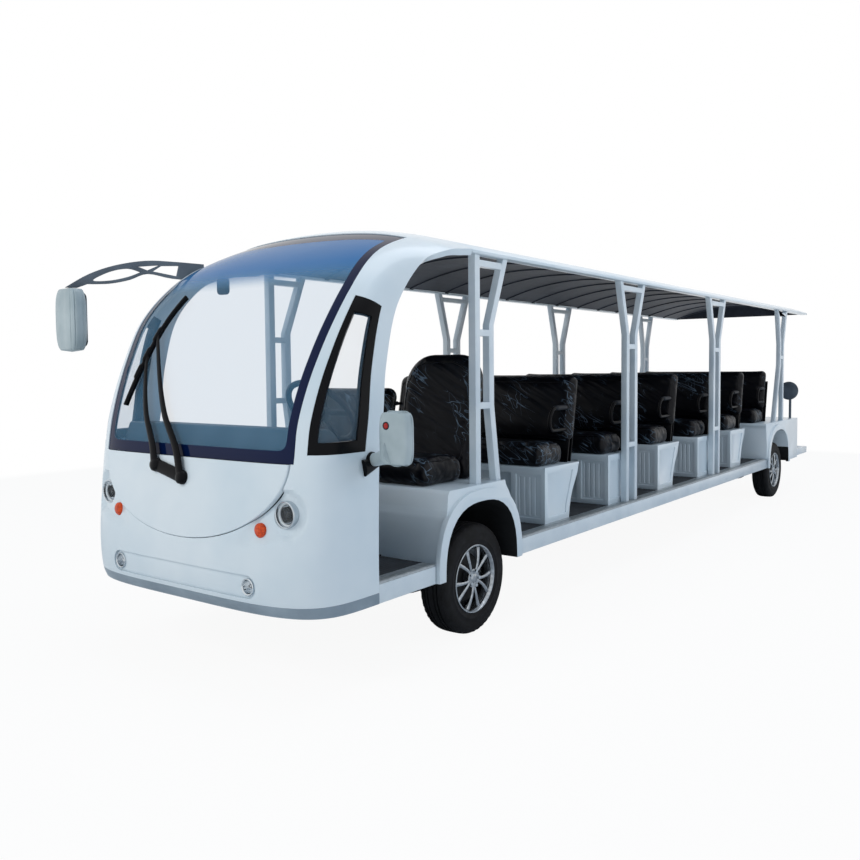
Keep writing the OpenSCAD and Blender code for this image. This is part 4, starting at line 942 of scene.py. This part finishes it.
# %% Boards under the bench backs
# A black board between the uprights closes the gap from the bench to its back.
boards = []
board_size, board_mid = (0.012, 1.33, 0.165), 0.0835
for k, (front, deck) in enumerate(zip(row_fronts, row_decks)):
    wide = board_size[1] if k < 5 else 1.29
    mesh = chamfered_box((board_size[0], wide, board_size[2]), 0.003)
    at = (front - bench_depth + back_half - back_lean * board_mid, 0, deck + board_mid)
    mesh.transform(Matrix.Translation(at) @ leaning(back_lean))
    boards.append(mesh)
dress("back_boards", join_meshes("back_boards", boards), black_abs, "black_plastic")
print(f"{len(boards)} boards under the bench backs")

# %% Cab seats
cab_low, cab_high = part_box("cab_cushions")
cab_deck = cab_low.z
# Each seat: its right and left edge, the height of its back and how round the back's top corners are.
cab_seats = (("driver", 0.110, 0.640, 0.665, 0.17), ("mate", -0.680, 0.060, 0.480, 0.06))
cab_cushions, cab_backs = {}, {}
for who, y0, y1, tall, round_top in cab_seats:
    wide, middle_y = y1 - y0, (y0 + y1) / 2
    size = (0.344 - 2 * swell, wide - 2 * swell, 0.128 - swell)
    form = stuffed(f"{who}_cushion_form", size, 0.045, 0.009, 0.016)
    at = ((cab_low.x + cab_high.x) / 2, middle_y, cab_deck + rest_gap)
    cab_cushions[who] = set_down(f"{who}_cushion", form, "cab_cushions", at)
    size = (0.11 - 2 * swell, wide - 2 * swell, tall - swell)
    form = stuffed(f"{who}_back_form", size, 0.04, 0.009, 0.014, round_top)
    at = (front_axle_x - 0.149, middle_y, cab_deck + rest_gap)
    cab_backs[who] = set_down(f"{who}_back", form, "cab_backs", at, back_lean)
print("cab seats:", ", ".join(cab_cushions))


# %% [markdown]
# ## Piping and armrests
# A thin cord of the same leather is sewn along the seams. Its path is a rounded rectangle that is laid
# on the finished form, point by point, and a tube is swept along it. The armrests are bent black tubes
# with a soft grip.


# %% Swept tubes
x_axis, y_axis, z_axis = (1.0, 0.0, 0.0), (0.0, 1.0, 0.0), (0.0, 0.0, 1.0)


def tube(path, radius, closed=False, sides=10, flat=1.0, across=None):
    """Rings of a tube along the path; a radius for each point may be given, and flat thins it along across."""
    path = np.asarray(path, float)
    radius = np.broadcast_to(np.asarray(radius, float), len(path))
    if closed:
        along = np.roll(path, -1, 0) - np.roll(path, 1, 0)
    else:
        along = np.gradient(path, axis=0)
    along /= np.linalg.norm(along, axis=1, keepdims=True)
    if across is None:
        across = y_axis if np.abs(along[:, 2]).max() > 0.9 else z_axis
    side = np.broadcast_to(np.asarray(across, float), path.shape)
    side = side - along * np.sum(side * along, axis=1, keepdims=True)
    side /= np.linalg.norm(side, axis=1, keepdims=True)
    other = np.cross(along, side)
    angles = np.linspace(0, 2 * np.pi, sides + 1)
    rings = path[:, None] + radius[:, None, None] * (
        flat * np.cos(angles)[None, :, None] * side[:, None] + np.sin(angles)[None, :, None] * other[:, None])
    if closed:
        return list(rings) + [rings[0]]
    return [np.repeat(path[:1], sides + 1, 0)] + list(rings) + [np.repeat(path[-1:], sides + 1, 0)]
def swept(path, radius, **options):
    """Mesh of a tube along the path."""
    return grid_mesh("swept_tube", tube(path, radius, **options))
def rounded_loop(half_a, half_b, r, count=10):
    """Points of a rounded rectangle in its own plane."""
    points = []
    for ca, cb, start in ((1, 1, 0), (-1, 1, 90), (-1, -1, 180), (1, -1, 270)):
        for k in range(count + 1):
            a = math.radians(start + 90 * k / count)
            points.append((ca * (half_a - r) + r * math.cos(a), cb * (half_b - r) + r * math.sin(a)))
    fine = []
    for p, q in zip(points, points[1:] + points[:1]):
        steps = max(1, int(math.dist(p, q) / 0.02))
        fine += [(p[0] + (q[0] - p[0]) * j / steps, p[1] + (q[1] - p[1]) * j / steps) for j in range(steps)]
    return fine


def piping(piece, loop):
    """Seam cord along a loop of points, laid on the piece's surface."""
    laid = [piece.closest_point_on_mesh(Vector(p))[1] for p in loop]
    return swept(laid, 0.0045, closed=True, sides=8, across=(0.37, 0.21, 0.9))


def box_of(piece):
    points = np.array([v.co for v in piece.data.vertices])
    return points.min(0), points.max(0)


cords = []
for piece in bench_seats + list(cab_cushions.values()):
    low, high = box_of(piece)
    cx, cy = (low[:2] + high[:2]) / 2
    loop = rounded_loop((high[0] - low[0]) / 2 - 0.016, (high[1] - low[1]) / 2 - 0.016, 0.05)
    cords.append(piping(piece, [(cx + a, cy + b, high[2] - 0.012) for a, b in loop]))
for piece in bench_backs + list(cab_backs.values()):
    low, high = box_of(piece)
    cy, cz = (low[1:] + high[1:]) / 2
    corner = 0.16 if piece.name == "driver_back" else 0.05
    loop = rounded_loop((high[1] - low[1]) / 2 - 0.028, (high[2] - low[2]) / 2 - 0.026, corner)
    loop = [(high[0] - back_lean * (cz + b - low[2]) + 0.03, cy + a, cz + b) for a, b in loop]
    cords.append(piping(piece, loop))
seat_piping = dress("seat_piping", join_meshes("seat_piping", cords), seat_vinyl, "black_vinyl")
print(f"seat piping: {len(cords)} loops, {len(seat_piping.data.polygons)} faces")

# %% Armrests
arms, grips = [], []
arm_y, arm_reach, arm_r = 0.652, 0.215, 0.011
arm_low, arm_high, grip_height = 0.20, 0.33, 0.332
for front, deck in zip(row_fronts, row_decks):
    for side in (1, -1):
        def at(ahead, height):
            return (front - bench_depth + 0.075 - back_lean * height + ahead, side * arm_y, deck + height)
        angles = np.linspace(0, math.pi, 14)
        bend = [at(arm_reach - 0.05 + 0.05 * math.sin(a), 0.265 + 0.065 * math.cos(a)) for a in angles]
        upper = [at(x, arm_high) for x in (0, 0.06, 0.12)]
        lower = [at(x, arm_low) for x in (0.10, 0)]
        arms.append(swept(upper + bend + lower, arm_r, across=y_axis))
        grip_path = [at(x, grip_height) for x in np.linspace(0.035, arm_reach - 0.045, 12)]
        grip_r = [0.009] + [0.019] * 10 + [0.009]
        grips.append(swept(grip_path, grip_r, sides=14, flat=0.8))
dress("armrest_tubes", join_meshes("armrest_tubes", arms), black_abs, "black_plastic")
dress("armrest_grips", join_meshes("armrest_grips", grips), grained_black, "black_plastic")
print(f"{len(arms)} armrests")

# %% [markdown]
# ## Wheels
# A tyre is a ring turned from one profile with grooves, a bead and a raised rib on the side wall. The
# shoulder has a row of blocks. Blocks and nuts repeat round the axle, so one Geometry Nodes tree
# sets a shape on a circle of points; its inputs are the shape, the radius, the count and the
# finish.


# %% Ring of shapes in Geometry Nodes
def new_tree(name, **inputs):
    """A tree with named inputs: gives the tree, the inputs' sockets and their identifiers."""
    tree = bpy.data.node_groups.new(name, "GeometryNodeTree")
    keys = {}
    for key, kind in inputs.items():
        socket = tree.interface.new_socket(key, in_out="INPUT", socket_type="NodeSocket" + kind)
        keys[key] = socket.identifier
    tree.interface.new_socket("Geometry", in_out="OUTPUT", socket_type="NodeSocketGeometry")
    return tree, add_node(tree, "NodeGroupInput").outputs, keys


def end_tree(tree, instances, finish):
    """Makes the instances real, gives them their finish and hands them out."""
    solid = add_node(tree, "GeometryNodeRealizeInstances", {"Geometry": instances})
    dressed = {"Geometry": solid.outputs["Geometry"], "Material": finish}
    painted = add_node(tree, "GeometryNodeSetMaterial", dressed)
    add_node(tree, "NodeGroupOutput", {"Geometry": painted.outputs["Geometry"]})


def made_by(tree, keys, **values):
    """Plain mesh that a tree makes from the values of its inputs."""
    holder = new_piece("tree_holder", bpy.data.meshes.new("tree_holder"), values["Finish"])
    maker = holder.modifiers.new("maker", "NODES")
    maker.node_group = tree
    for name, value in values.items():
        maker[keys[name]] = value
    settle(holder)
    mesh = holder.data
    bpy.data.objects.remove(holder)
    return mesh


ring_tree, given, ring_keys = new_tree(
    "ring_of_shapes", Shape="Object", Radius="Float", Count="Int", Finish="Material")
circle = add_node(ring_tree, "GeometryNodeMeshCircle", {"Vertices": given["Count"], "Radius": given["Radius"]})
spot = add_node(ring_tree, "GeometryNodeInputPosition").outputs["Position"]
turn = add_node(ring_tree, "FunctionNodeAlignRotationToVector", {"Vector": spot}, axis="X", pivot_axis="Z")
shape = add_node(ring_tree, "GeometryNodeObjectInfo", {"Object": given["Shape"]})
placed = {"Points": circle.outputs["Mesh"], "Instance": shape.outputs["Geometry"],
          "Rotation": turn.outputs["Rotation"]}
ring = add_node(ring_tree, "GeometryNodeInstanceOnPoints", placed)
end_tree(ring_tree, ring.outputs["Instances"], given["Finish"])


def ring_mesh(shape_mesh, radius, count, finish):
    """Plain mesh with count copies of a shape round the Z axis."""
    shape = new_piece("ring_shape", shape_mesh, finish)
    mesh = made_by(ring_tree, ring_keys, Shape=shape, Radius=radius, Count=count, Finish=finish)
    bpy.data.objects.remove(shape)
    return mesh


def turned(profile, steps=96):
    """Mesh turned round the Z axis from points (r, z)."""
    angles = np.linspace(0, 2 * np.pi, steps + 1)
    return grid_mesh("turned", [[(r * math.cos(a), r * math.sin(a), z) for a in angles] for r, z in profile])


print("ring tree inputs:", ", ".join(ring_keys))

# %% Tyres, nuts, hub caps and drums
half_tyre = [
    (0.153, 0.058), (0.158, 0.066), (0.166, 0.0695), (0.178, 0.0735), (0.189, 0.0752), (0.192, 0.0772),
    (0.197, 0.0772), (0.200, 0.0756), (0.222, 0.0772), (0.240, 0.0760), (0.251, 0.0730), (0.258, 0.0690),
    (0.264, 0.0640), (0.2690, 0.0575), (0.2725, 0.050), (0.2738, 0.041), (0.2670, 0.0395), (0.2670, 0.0335),
    (0.2744, 0.032), (0.2748, 0.0215), (0.2680, 0.020), (0.2680, 0.0145), (0.2750, 0.013), (0.2750, 0.004)]
tyre_profile = half_tyre + [(r, -z) for r, z in reversed(half_tyre)] + [half_tyre[0]]
block_mesh = chamfered_box((0.011, 0.0215, 0.020), 0.0025)
block_radius, block_count, block_side = 0.2622, 44, 0.0545
nut = bmesh.new()
bmesh.ops.create_cone(nut, cap_ends=True, segments=6, radius1=0.0095, radius2=0.0085, depth=0.016)
nut_mesh = bpy.data.meshes.new("wheel_nut")
nut.to_mesh(nut_mesh)
nut.free()
nut_radius, nut_face = 0.0365, 0.0665
cap_profile = [(0.0005, 0.0715), (0.012, 0.0710), (0.020, 0.0690), (0.0245, 0.0655), (0.0262, 0.0640),
               (0.0262, 0.0560)]
drum_profile = [(0.0365, 0.020), (0.104, 0.020), (0.118, 0.014), (0.122, 0.004), (0.122, -0.012),
                (0.116, -0.018), (0.0365, -0.018), (0.0365, 0.020)]
# The rim has a thin bright lip in front of a deep barrel; its spokes stand in pairs that part outwards.
rim_edge = [(0.1525, 0.056), (0.1600, 0.0665), (0.1675, 0.0705), (0.1690, 0.0745), (0.1670, 0.0762)]
rim_face = [(0.1622, 0.0755), (0.1585, 0.0700), (0.1530, 0.0560), (0.1475, 0.0340)]
rim_back = [(0.1470, -0.0560), (0.1560, -0.0690)]
rim_profile = rim_edge + rim_face + rim_back + [(r, -z) for r, z in reversed(rim_edge)] + rim_edge[:1]
hub_profile = [(0.0206, 0.0652), (0.0435, 0.0650), (0.0462, 0.0625), (0.0475, 0.0520), (0.0450, 0.0250),
               (0.0365, 0.0200), (0.0365, 0.0090), (0.0206, 0.0090)]
spoke_pairs, spoke_from, spoke_run = 5, 0.036, 0.118


def cast_rim():
    parts = [turned(rim_profile), turned(hub_profile, 64)]
    out = np.linspace(0, 1, 18)
    r = spoke_from + spoke_run * out
    rise = 0.0585 + 0.006 * np.sin(np.pi * out**0.7) - 0.004 * out
    half = 0.0078 + 0.0052 * out**2
    for k in range(spoke_pairs):
        for way in (1, -1):
            angle = math.radians(360 / spoke_pairs * k + 18) + way * np.radians(7 + 10.5 * out**0.8)
            path = np.stack([r * np.cos(angle), r * np.sin(angle), rise], -1)
            parts.append(swept(path, half, sides=14, flat=0.75, across=z_axis))
    return join_meshes("rim", parts)


def on_axle(mesh, centre, side):
    """Turns a mesh made round Z so that Z points outwards along the axle, and moves it to a wheel."""
    copy = mesh.copy()
    copy.transform(Matrix.Translation(centre) @ Matrix.Rotation(-side * math.pi / 2, 4, "X"))
    return copy


for where in ("front_left", "front_right", "rear_left", "rear_right"):
    body = "wheel_" + where[0] + where.split("_")[1][0]
    low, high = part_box("tyre_" + where)
    centre, side = (low + high) / 2, 1 if where.endswith("left") else -1
    tyre, cap, drum = turned(tyre_profile), turned(cap_profile, 48), turned(drum_profile, 64)
    for mesh, degrees in ((tyre, 38), (cap, 40), (drum, 40)):
        smooth_by_angle(mesh, degrees)
    shoulder = ring_mesh(block_mesh.copy(), block_radius, block_count, tyre_rubber)
    rows = [shoulder.copy(), shoulder.copy()]
    rows[0].transform(Matrix.Translation((0, 0, block_side)))
    half_step = Matrix.Rotation(math.pi / block_count, 4, "Z")
    rows[1].transform(Matrix.Translation((0, 0, -block_side)) @ half_step)
    nuts = ring_mesh(nut_mesh.copy(), nut_radius, spoke_pairs, chrome)
    nuts.transform(Matrix.Translation((0, 0, nut_face)) @ Matrix.Rotation(math.pi / spoke_pairs, 4, "Z"))
    made = (
        ("tyre_" + where + "_cast", tyre, tyre_rubber, "tyre_black", "tyre_" + where),
        ("tread_blocks_" + where, join_meshes("blocks", rows), tyre_rubber, "tyre_black"),
        ("wheel_nuts_" + where, nuts, chrome, "alloy_silver"),
        ("rim_" + where + "_cast", cast_rim(), alloy, "alloy_silver", "rim_" + where),
        ("hub_cap_" + where, cap, alloy, "alloy_silver"),
        ("brake_drum_" + where, drum, cast_iron, "chassis_black"),
    )
    for name, mesh, finish, *fitting in made:
        dress(name, on_axle(mesh, centre, side), finish, *fitting, body=body)
    print(f"{where}: wheel at {[round(x, 3) for x in centre]}")

# %% [markdown]
# ## Wiper
# Two pressed arms swing together on their own spindles and carry one blade. The arms follow the glass
# 22 mm above it: their paths are straight in the cab's u and t, lifted along the surface normal, and
# swept with a flat section.


# %% Wiper
def over_glass(start, end, count, lift):
    u, t = np.linspace(start[0], end[0], count), np.linspace(start[1], end[1], count)
    out = cab_normal(u, t)
    return cab_point(u, t) + out * lift, out


spindles, tips = ((2.85, -0.161), (2.73, -0.007)), ((5.1, -0.3236), (5.5, -0.3074))
blade_foot, blade_tip = np.array([4.1, -0.364]), np.array([6.3, -0.275])
wiper_parts = []
for spindle, tip in zip(spindles, tips):
    path, out = over_glass(spindle, tip, 24, 0.022)
    wiper_parts.append(swept(path, np.linspace(0.022, 0.010, 24), sides=14, flat=0.4, across=out))
    path, out = over_glass(spindle, spindle, 2, 0.0)
    foot = path[0] + np.outer([-0.004, 0.010, 0.024, 0.030, 0.033], out[0])
    wiper_parts.append(swept(foot, [0.032, 0.032, 0.029, 0.022, 0.008], sides=28, across=y_axis))
path, out = over_glass(*spindles, 16, 0.012)
wiper_parts.append(swept(path, 0.028, sides=16, flat=0.4, across=out))
# The blade has a stiff spine above its rubber lip, and three yokes clasp it.
path, out = over_glass(blade_foot, blade_tip, 40, 0.020)
wiper_parts.append(swept(path, 0.009, sides=12, flat=0.7, across=out))
path, out = over_glass(blade_foot, blade_tip, 40, 0.009)
wiper_parts.append(swept(path, 0.004, sides=8, flat=2.2, across=out))
yoke_half = np.array([0.14, 0.0057])
for share in (0.30, 0.455, 0.636):
    at = blade_foot + (blade_tip - blade_foot) * share
    path, out = over_glass(at - yoke_half, at + yoke_half, 10, 0.024)
    wiper_parts.append(swept(path, [0.006] + [0.012] * 8 + [0.006], sides=12, flat=0.7, across=out))
wiper_mesh = join_meshes("wiper_arms", wiper_parts)
dress("wiper_arms", wiper_mesh, black_abs, "black_plastic", "wiper")
print(f"wiper: {len(wiper_parts)} pressings, {len(wiper_mesh.polygons)} faces")

# %% [markdown]
# ## Mirrors
# The left mirror is a rounded housing on a swan neck from a black foot; a small red reflector faces
# ahead. Housings are lofted from superellipse sections, so that they bulge without corners. The mirror
# glass lies in the rear recess.


# %% Left mirror
_, mirror_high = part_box("left_mirror")
head_half = np.array([0.033, 0.071, 0.107])
head = np.array([front_axle_x + nose_reach - 0.305, mirror_high.y - head_half[1], screen_foot + 0.103])
foot_x = front_axle_x + door_reach + 0.014


def signed_power(x, power):
    return math.copysign(abs(x) ** power, x)


def section(centre, half_a, half_b, power, count=48):
    """Superellipse in the x y plane round a centre."""
    ring = []
    for a in np.linspace(0, 2 * np.pi, count + 1):
        x = centre[0] + half_a * signed_power(math.cos(a), 2 / power)
        y = centre[1] + half_b * signed_power(math.sin(a), 2 / power)
        ring.append((x, y, centre[2]))
    return ring


housing, cap_half = [], 0.004
for f in np.linspace(-1, 1, 29):
    half_a = half_b = cap_half
    if abs(f) < 1:
        full = (1 - abs(f) ** 4.5) ** (1 / 4.5)
        half_a, half_b = head_half[0] * (0.35 + 0.65 * full), head_half[1] * (0.25 + 0.75 * full)
    housing.append(section((head[0], head[1], head[2] + f * head_half[2]), half_a, half_b, 4.5))
# A raised rim round the rear opening makes the seam line of the two halves.
rim_loop = [(head[0] - 0.010, head[1] + a, head[2] + b) for a, b in rounded_loop(0.0705, 0.1055, 0.034)]
neck_s = np.linspace(0, 1, 18)
neck_x = foot_x + 0.030 + (head[0] - foot_x - 0.030) * neck_s
neck_y = half_width + 0.016 + (head[1] - 0.020 - half_width) * neck_s**0.8
neck = np.stack([neck_x, neck_y, screen_foot + 0.002 + 0.050 * neck_s], -1)
head_parts = [
    grid_mesh("housing", housing),
    swept(rim_loop, 0.0022, closed=True, sides=8, across=x_axis),
    swept(neck, 0.024 + 0.030 * neck_s**2, sides=24, flat=1.15, across=z_axis),
]
head_mesh = join_meshes("left_mirror_housing", head_parts)
left_head = dress("left_mirror_housing", head_mesh, pale_plastic, "grey_moulding", "left_mirror")
foot_path, foot_out = over_glass((2.90, 0.83), (2.97, 0.985), 14, 0.006)
foot_size = 0.036 - 0.016 * np.linspace(0, 1, 14)
cuff_path = [(foot_x + 0.026, half_width + y, screen_foot) for y in (-0.004, 0.010, 0.020, 0.024)]
foot_parts = [
    swept(foot_path, foot_size, sides=20, flat=0.5, across=foot_out),
    swept(cuff_path, [0.034, 0.033, 0.029, 0.025], sides=24, across=z_axis),
]
dress("left_mirror_foot", join_meshes("left_mirror_foot", foot_parts), black_abs, "black_plastic")
print(f"left mirror housing: {len(left_head.data.polygons)} faces")


# %% Mirror glass and reflector
def facing(mesh, at, ahead=True):
    """Turns a mesh made round Z so that Z points ahead, or to the rear, and moves it."""
    mesh.transform(Matrix.Translation(at) @ Matrix.Rotation(math.pi / 2 if ahead else -math.pi / 2, 4, "Y"))
    return mesh


def pillow(half_a, half_b, r, rise, x, y, z):
    """Slightly crowned pane that faces the rear."""
    crown = ((0.985, 0.0), (0.9, 0.2), (0.6, 0.7), (0.3, 0.95), (0.01, 1.0))
    rings = []
    for share, sink in [(1.0, 0.003)] + [(share, -part * rise) for share, part in crown]:
        ring = [(x + sink, y + a * share, z + b * share) for a, b in rounded_loop(half_a, half_b, r)]
        rings.append(ring + ring[:1])
    return grid_mesh("pane", rings)


right_low, right_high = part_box("right_mirror")
right_mid, right_half = (right_low + right_high) / 2, (right_high - right_low) / 2
right_angle = np.linspace(0, 2 * np.pi, 161)
# Eleven upright grooves run round the pod, apart from the side that carries the mirror glass.
fluted = np.maximum(0, np.cos(11 * right_angle)) ** 6 * (np.abs(right_angle - np.pi) > 0.5)
pod = []
for f in np.linspace(-1, 1, 41):
    full = (1 - abs(f) ** 3.6) ** (1 / 3.6) if abs(f) < 1 else 0.03
    half = right_half * (0.3 + 0.7 * full)
    ring = np.array(section((0, 0, 0), half.x, half.y, 4, 160)) * (1 - 0.05 * full * fluted)[:, None]
    at = np.array([right_mid.x, right_mid.y, right_mid.z + right_half.z * f])
    pod.append(ring * (1 if abs(f) < 1 else 0.05) + at)
pod_mesh = grid_mesh("right_mirror_pod", pod)
smooth_by_angle(pod_mesh, 60)
dress("right_mirror_pod", pod_mesh, pale_plastic, "grey_moulding", "right_mirror")
panes = [pillow(0.058, 0.091, 0.028, 0.002, head[0] - 0.0335, head[1], head[2]),
         pillow(0.072, 0.135, 0.03, 0.003, right_low.x + 0.0005, right_mid.y, right_mid.z)]
dress("mirror_panes", join_meshes("mirror_panes", panes), mirror_metal, "mirror_face")
spot = np.array([head[0] + 0.0315, head[1] - 0.026, head[2] + 0.050])
lens_profile = [(0.0002, 0.0062), (0.006, 0.0058), (0.010, 0.0046), (0.0122, 0.002), (0.0125, -0.002)]
collar_profile = [(0.0126, -0.002), (0.0126, 0.0035), (0.0142, 0.0040), (0.0156, 0.0030), (0.0160, -0.002)]
reflector, collar = (facing(turned(outline, 32), spot) for outline in (lens_profile, collar_profile))
for mesh in (reflector, collar):
    smooth_by_angle(mesh, 50)
dress("reflector_lens", reflector, red_lens, "lamp_red")
dress("reflector_collar", collar, grained_black, "black_plastic")
print("mirror glass and reflector")

# %% [markdown]
# ## Inside the lamps
# Each headlamp has a dark projector with a domed lens in the middle of its chromed bowl, and a pale
# light ring round it; the fog lamps have a small bulb shield. They are turned parts that face ahead.

# %% Lamp inserts
pale_ring = moulded_plastic("acrylic_opal_ring", "#D9E1E6", "#EEF3F6", 0.25, 5.0, 0.03)
projector_glass, tree, shader, place = new_finish(
    "projector_glass_dark", "#10161D", roughness=0.06, specular_ior_level=0.2)
depth_ring = add_node(tree, "ShaderNodeTexNoise", {"Vector": place, "Scale": 14.0})
two_tone(tree, shader, depth_ring.outputs["Fac"], "#080B10", "#1B232C", 0.35, 0.65)
shield_profile = [(0.0235, -0.045), (0.0245, -0.012), (0.0225, -0.006), (0.0190, -0.008), (0.0188, -0.014)]
eye_profile = [(0.0002, 0.000), (0.006, -0.0008), (0.012, -0.0035), (0.016, -0.0075), (0.0186, -0.013)]
ring_profile = [(0.0405, -0.004), (0.0415, 0.001), (0.0450, 0.002), (0.0480, 0.001), (0.0490, -0.004)]
bulb_profile = [(0.0002, -0.004), (0.007, -0.005), (0.0105, -0.009), (0.0115, -0.026)]
shields, eyes, rings = [], [], []
for side in (1, -1):
    at = headlamp * np.array([1, side, 1])
    shields.append(facing(turned(shield_profile, 48), at))
    eyes.append(facing(turned(eye_profile, 48), at))
    rings.append(facing(turned(ring_profile, 64), at))
    shields.append(facing(turned(bulb_profile, 40), fog_lamp * np.array([1, side, 1])))
dress("lamp_shields", join_meshes("lamp_shields", shields), projector_glass, "black_plastic")
dress("lamp_eyes", join_meshes("lamp_eyes", eyes), projector_glass, "black_plastic")
dress("lamp_rings", join_meshes("lamp_rings", rings), pale_ring, "lamp_clear")
print(f"{len(shields) + len(eyes) + len(rings)} turned lamp parts")

# %% [markdown]
# ## Rear end of the ceiling
# At the back the ceiling cloth is pulled down over the last hoop and closes the arch with a dark apron.
# It follows the lining's own arch, which is a parabola across the bus, down to the level of the roof
# edges.

# %% Rear apron
lining_low, lining_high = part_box("roof_lining")
apron_x, apron_thick = lining_low.x + 0.012, 0.006
apron_y = np.linspace(lining_low.y + 0.012, lining_high.y - 0.012, 61)
arch_z = lining_low.z + 0.012 + (lining_high.z - lining_low.z - 0.022) * (1 - (apron_y / lining_high.y) ** 2)
front_rows = [(apron_x, f) for f in np.linspace(0, 1, 9)]
back_rows = [(apron_x + apron_thick, f) for f in np.linspace(1, 0, 9)]
apron_foot = lining_low.z + 0.002
apron_rows = []
for x, share in front_rows + back_rows:
    sag = 0.004 * np.sin(np.pi * share) * np.sin(9 * np.pi * (apron_y / lining_high.y))
    apron_rows.append(np.stack([x + sag, apron_y, apron_foot + (arch_z - apron_foot) * share], -1))
apron_mesh = grid_mesh("ceiling_apron", apron_rows + apron_rows[:1])
smooth_by_angle(apron_mesh, 40)
dress("ceiling_apron", apron_mesh, ceiling_cloth, "lining_grey")
print(f"ceiling apron {apron_y[-1] - apron_y[0]:.2f} m wide, {arch_z.max() - lining_low.z:.3f} m high")

# %% [markdown]
# ## Ribs on the step edges
# The step edges are ribbed extrusions. The ribs run along the edge and repeat across it, so a second
# Geometry Nodes tree sets a strip on a line of points. %% Step-edge ribs
row_tree, given, row_keys = new_tree(
    "row_of_strips", Size="Vector", Start="Vector", Step="Vector", Count="Int", Finish="Material")
spacing = {"Count": given["Count"], "Start Location": given["Start"], "Offset": given["Step"]}
line = add_node(row_tree, "GeometryNodeMeshLine", spacing)
strip = add_node(row_tree, "GeometryNodeMeshCube", {"Size": given["Size"]})
placed = {"Points": line.outputs["Mesh"], "Instance": strip.outputs["Mesh"]}
row = add_node(row_tree, "GeometryNodeInstanceOnPoints", placed)
end_tree(row_tree, row.outputs["Instances"], given["Finish"])

nosing_low, nosing_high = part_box("step_nosings")
arch_half, rib_size, rib_pitch = 0.312, (0.005, 0.003), 0.0105
spans = ((front_axle_x + arch_half + 0.062, front_axle_x + door_reach - 0.004),
         (row_fronts[5] + 0.004, front_axle_x - arch_half - 0.058))
ribs = []
for x0, x1 in spans:
    for side in (1, -1):
        start = ((x0 + x1) / 2, side * (nosing_high.y - 0.008), nosing_high.z + 0.0008)
        ribs.append(made_by(row_tree, row_keys, Size=(x1 - x0, *rib_size), Start=start,
                            Step=(0, -side * rib_pitch, 0), Count=4, Finish=nosing_metal))
dress("step_ribs", join_meshes("step_ribs", ribs), nosing_metal, "nosing_aluminium")
print(f"step ribs on {len(ribs)} edges")

# %% [markdown]
# ## Stage and light
# A pale floor that fades to white, an even white surround, and three large soft lamps. The surround
# shows white to the camera, to glossy and to see-through rays, and lights the object more gently than
# that.

# %% Floor and surround
stage_finish, tree, shader, place = new_finish(
    "studio_floor_paint", "#F2F4F5", roughness=0.9, specular_ior_level=0.05)
radial = add_node(tree, "ShaderNodeVectorMath", {0: place}, operation="LENGTH")
reach = {"Value": radial.outputs["Value"], "From Min": 4.5, "From Max": 8.0}
fade = add_node(tree, "ShaderNodeMapRange", reach, interpolation_type="SMOOTHSTEP")
white_glow = add_node(tree, "ShaderNodeEmission", {"Color": (1, 1, 1, 1), "Strength": 1.0})
sight = add_node(tree, "ShaderNodeLightPath")
# The floor shows brighter than the lamps make it, so that only the shadow under the bus stands out.
lift = add_node(tree, "ShaderNodeMath", {0: sight.outputs["Is Camera Ray"], 1: 0.93}, operation="MULTIPLY")
share = add_node(tree, "ShaderNodeMath", {0: fade.outputs["Result"], 1: lift.outputs[0]}, operation="MAXIMUM")
mixed = {"Fac": share.outputs[0], 1: shader.outputs["BSDF"], 2: white_glow.outputs[0]}
add_node(tree, "ShaderNodeMixShader", mixed, to=tree.nodes["Material Output"].inputs["Surface"])
floor_mesh = bpy.data.meshes.new("studio_floor")
floor_mesh.from_pydata([(-60, -60, 0), (60, -60, 0), (60, 60, 0), (-60, 60, 0)], [], [(0, 1, 2, 3)])
new_piece("studio_floor", floor_mesh, stage_finish)

world = bpy.data.worlds.new("studio_surround")
scene.world = world
world.use_nodes = True
tree = world.node_tree
sight = add_node(tree, "ShaderNodeLightPath")
direct = {0: sight.outputs["Is Camera Ray"], 1: sight.outputs["Is Glossy Ray"]}
seen = add_node(tree, "ShaderNodeMath", direct, operation="MAXIMUM")
through = {0: seen.outputs[0], 1: sight.outputs["Is Transmission Ray"]}
seen = add_node(tree, "ShaderNodeMath", through, operation="MAXIMUM")
tones = {"Factor": seen.outputs[0], "A": (0.27, 0.315, 0.37, 1), "B": (1, 1, 1, 1)}
shade = add_node(tree, "ShaderNodeMix", tones, data_type="RGBA")
tree.links.new(shade.outputs["Result"], tree.nodes["Background"].inputs["Color"])
scene.view_settings.view_transform = "Standard"
print("floor and surround made")


# %% Soft lamps
def soft_lamp(name, place, aim, size, watts, hex_colour="#FFFFFF"):
    light = bpy.data.lights.new(name, "AREA")
    light.shape, light.size, light.size_y = "RECTANGLE", *size
    light.energy, light.color = watts, linear(hex_colour)[:3]
    lamp = bpy.data.objects.new(name, light)
    scene.collection.objects.link(lamp)
    lamp.location = place
    lamp.rotation_euler = (Vector(aim) - Vector(place)).to_track_quat("-Z", "Y").to_euler()
    return lamp


soft_lamp("key_lamp", (11, -1.5, 6.5), (2.5, 0, 0.9), (5, 3.5), 345, "#FFFDF8").visible_glossy = False
soft_lamp("side_lamp", (0.5, 9.0, 4.5), (0.0, 0, 0.8), (8, 3), 210, "#EEF5FF").visible_glossy = False
soft_lamp("top_lamp", (-0.5, 0.5, 7.5), (-0.5, 0, 0), (9, 4), 170, "#F4F8FF")
print("three soft lamps")
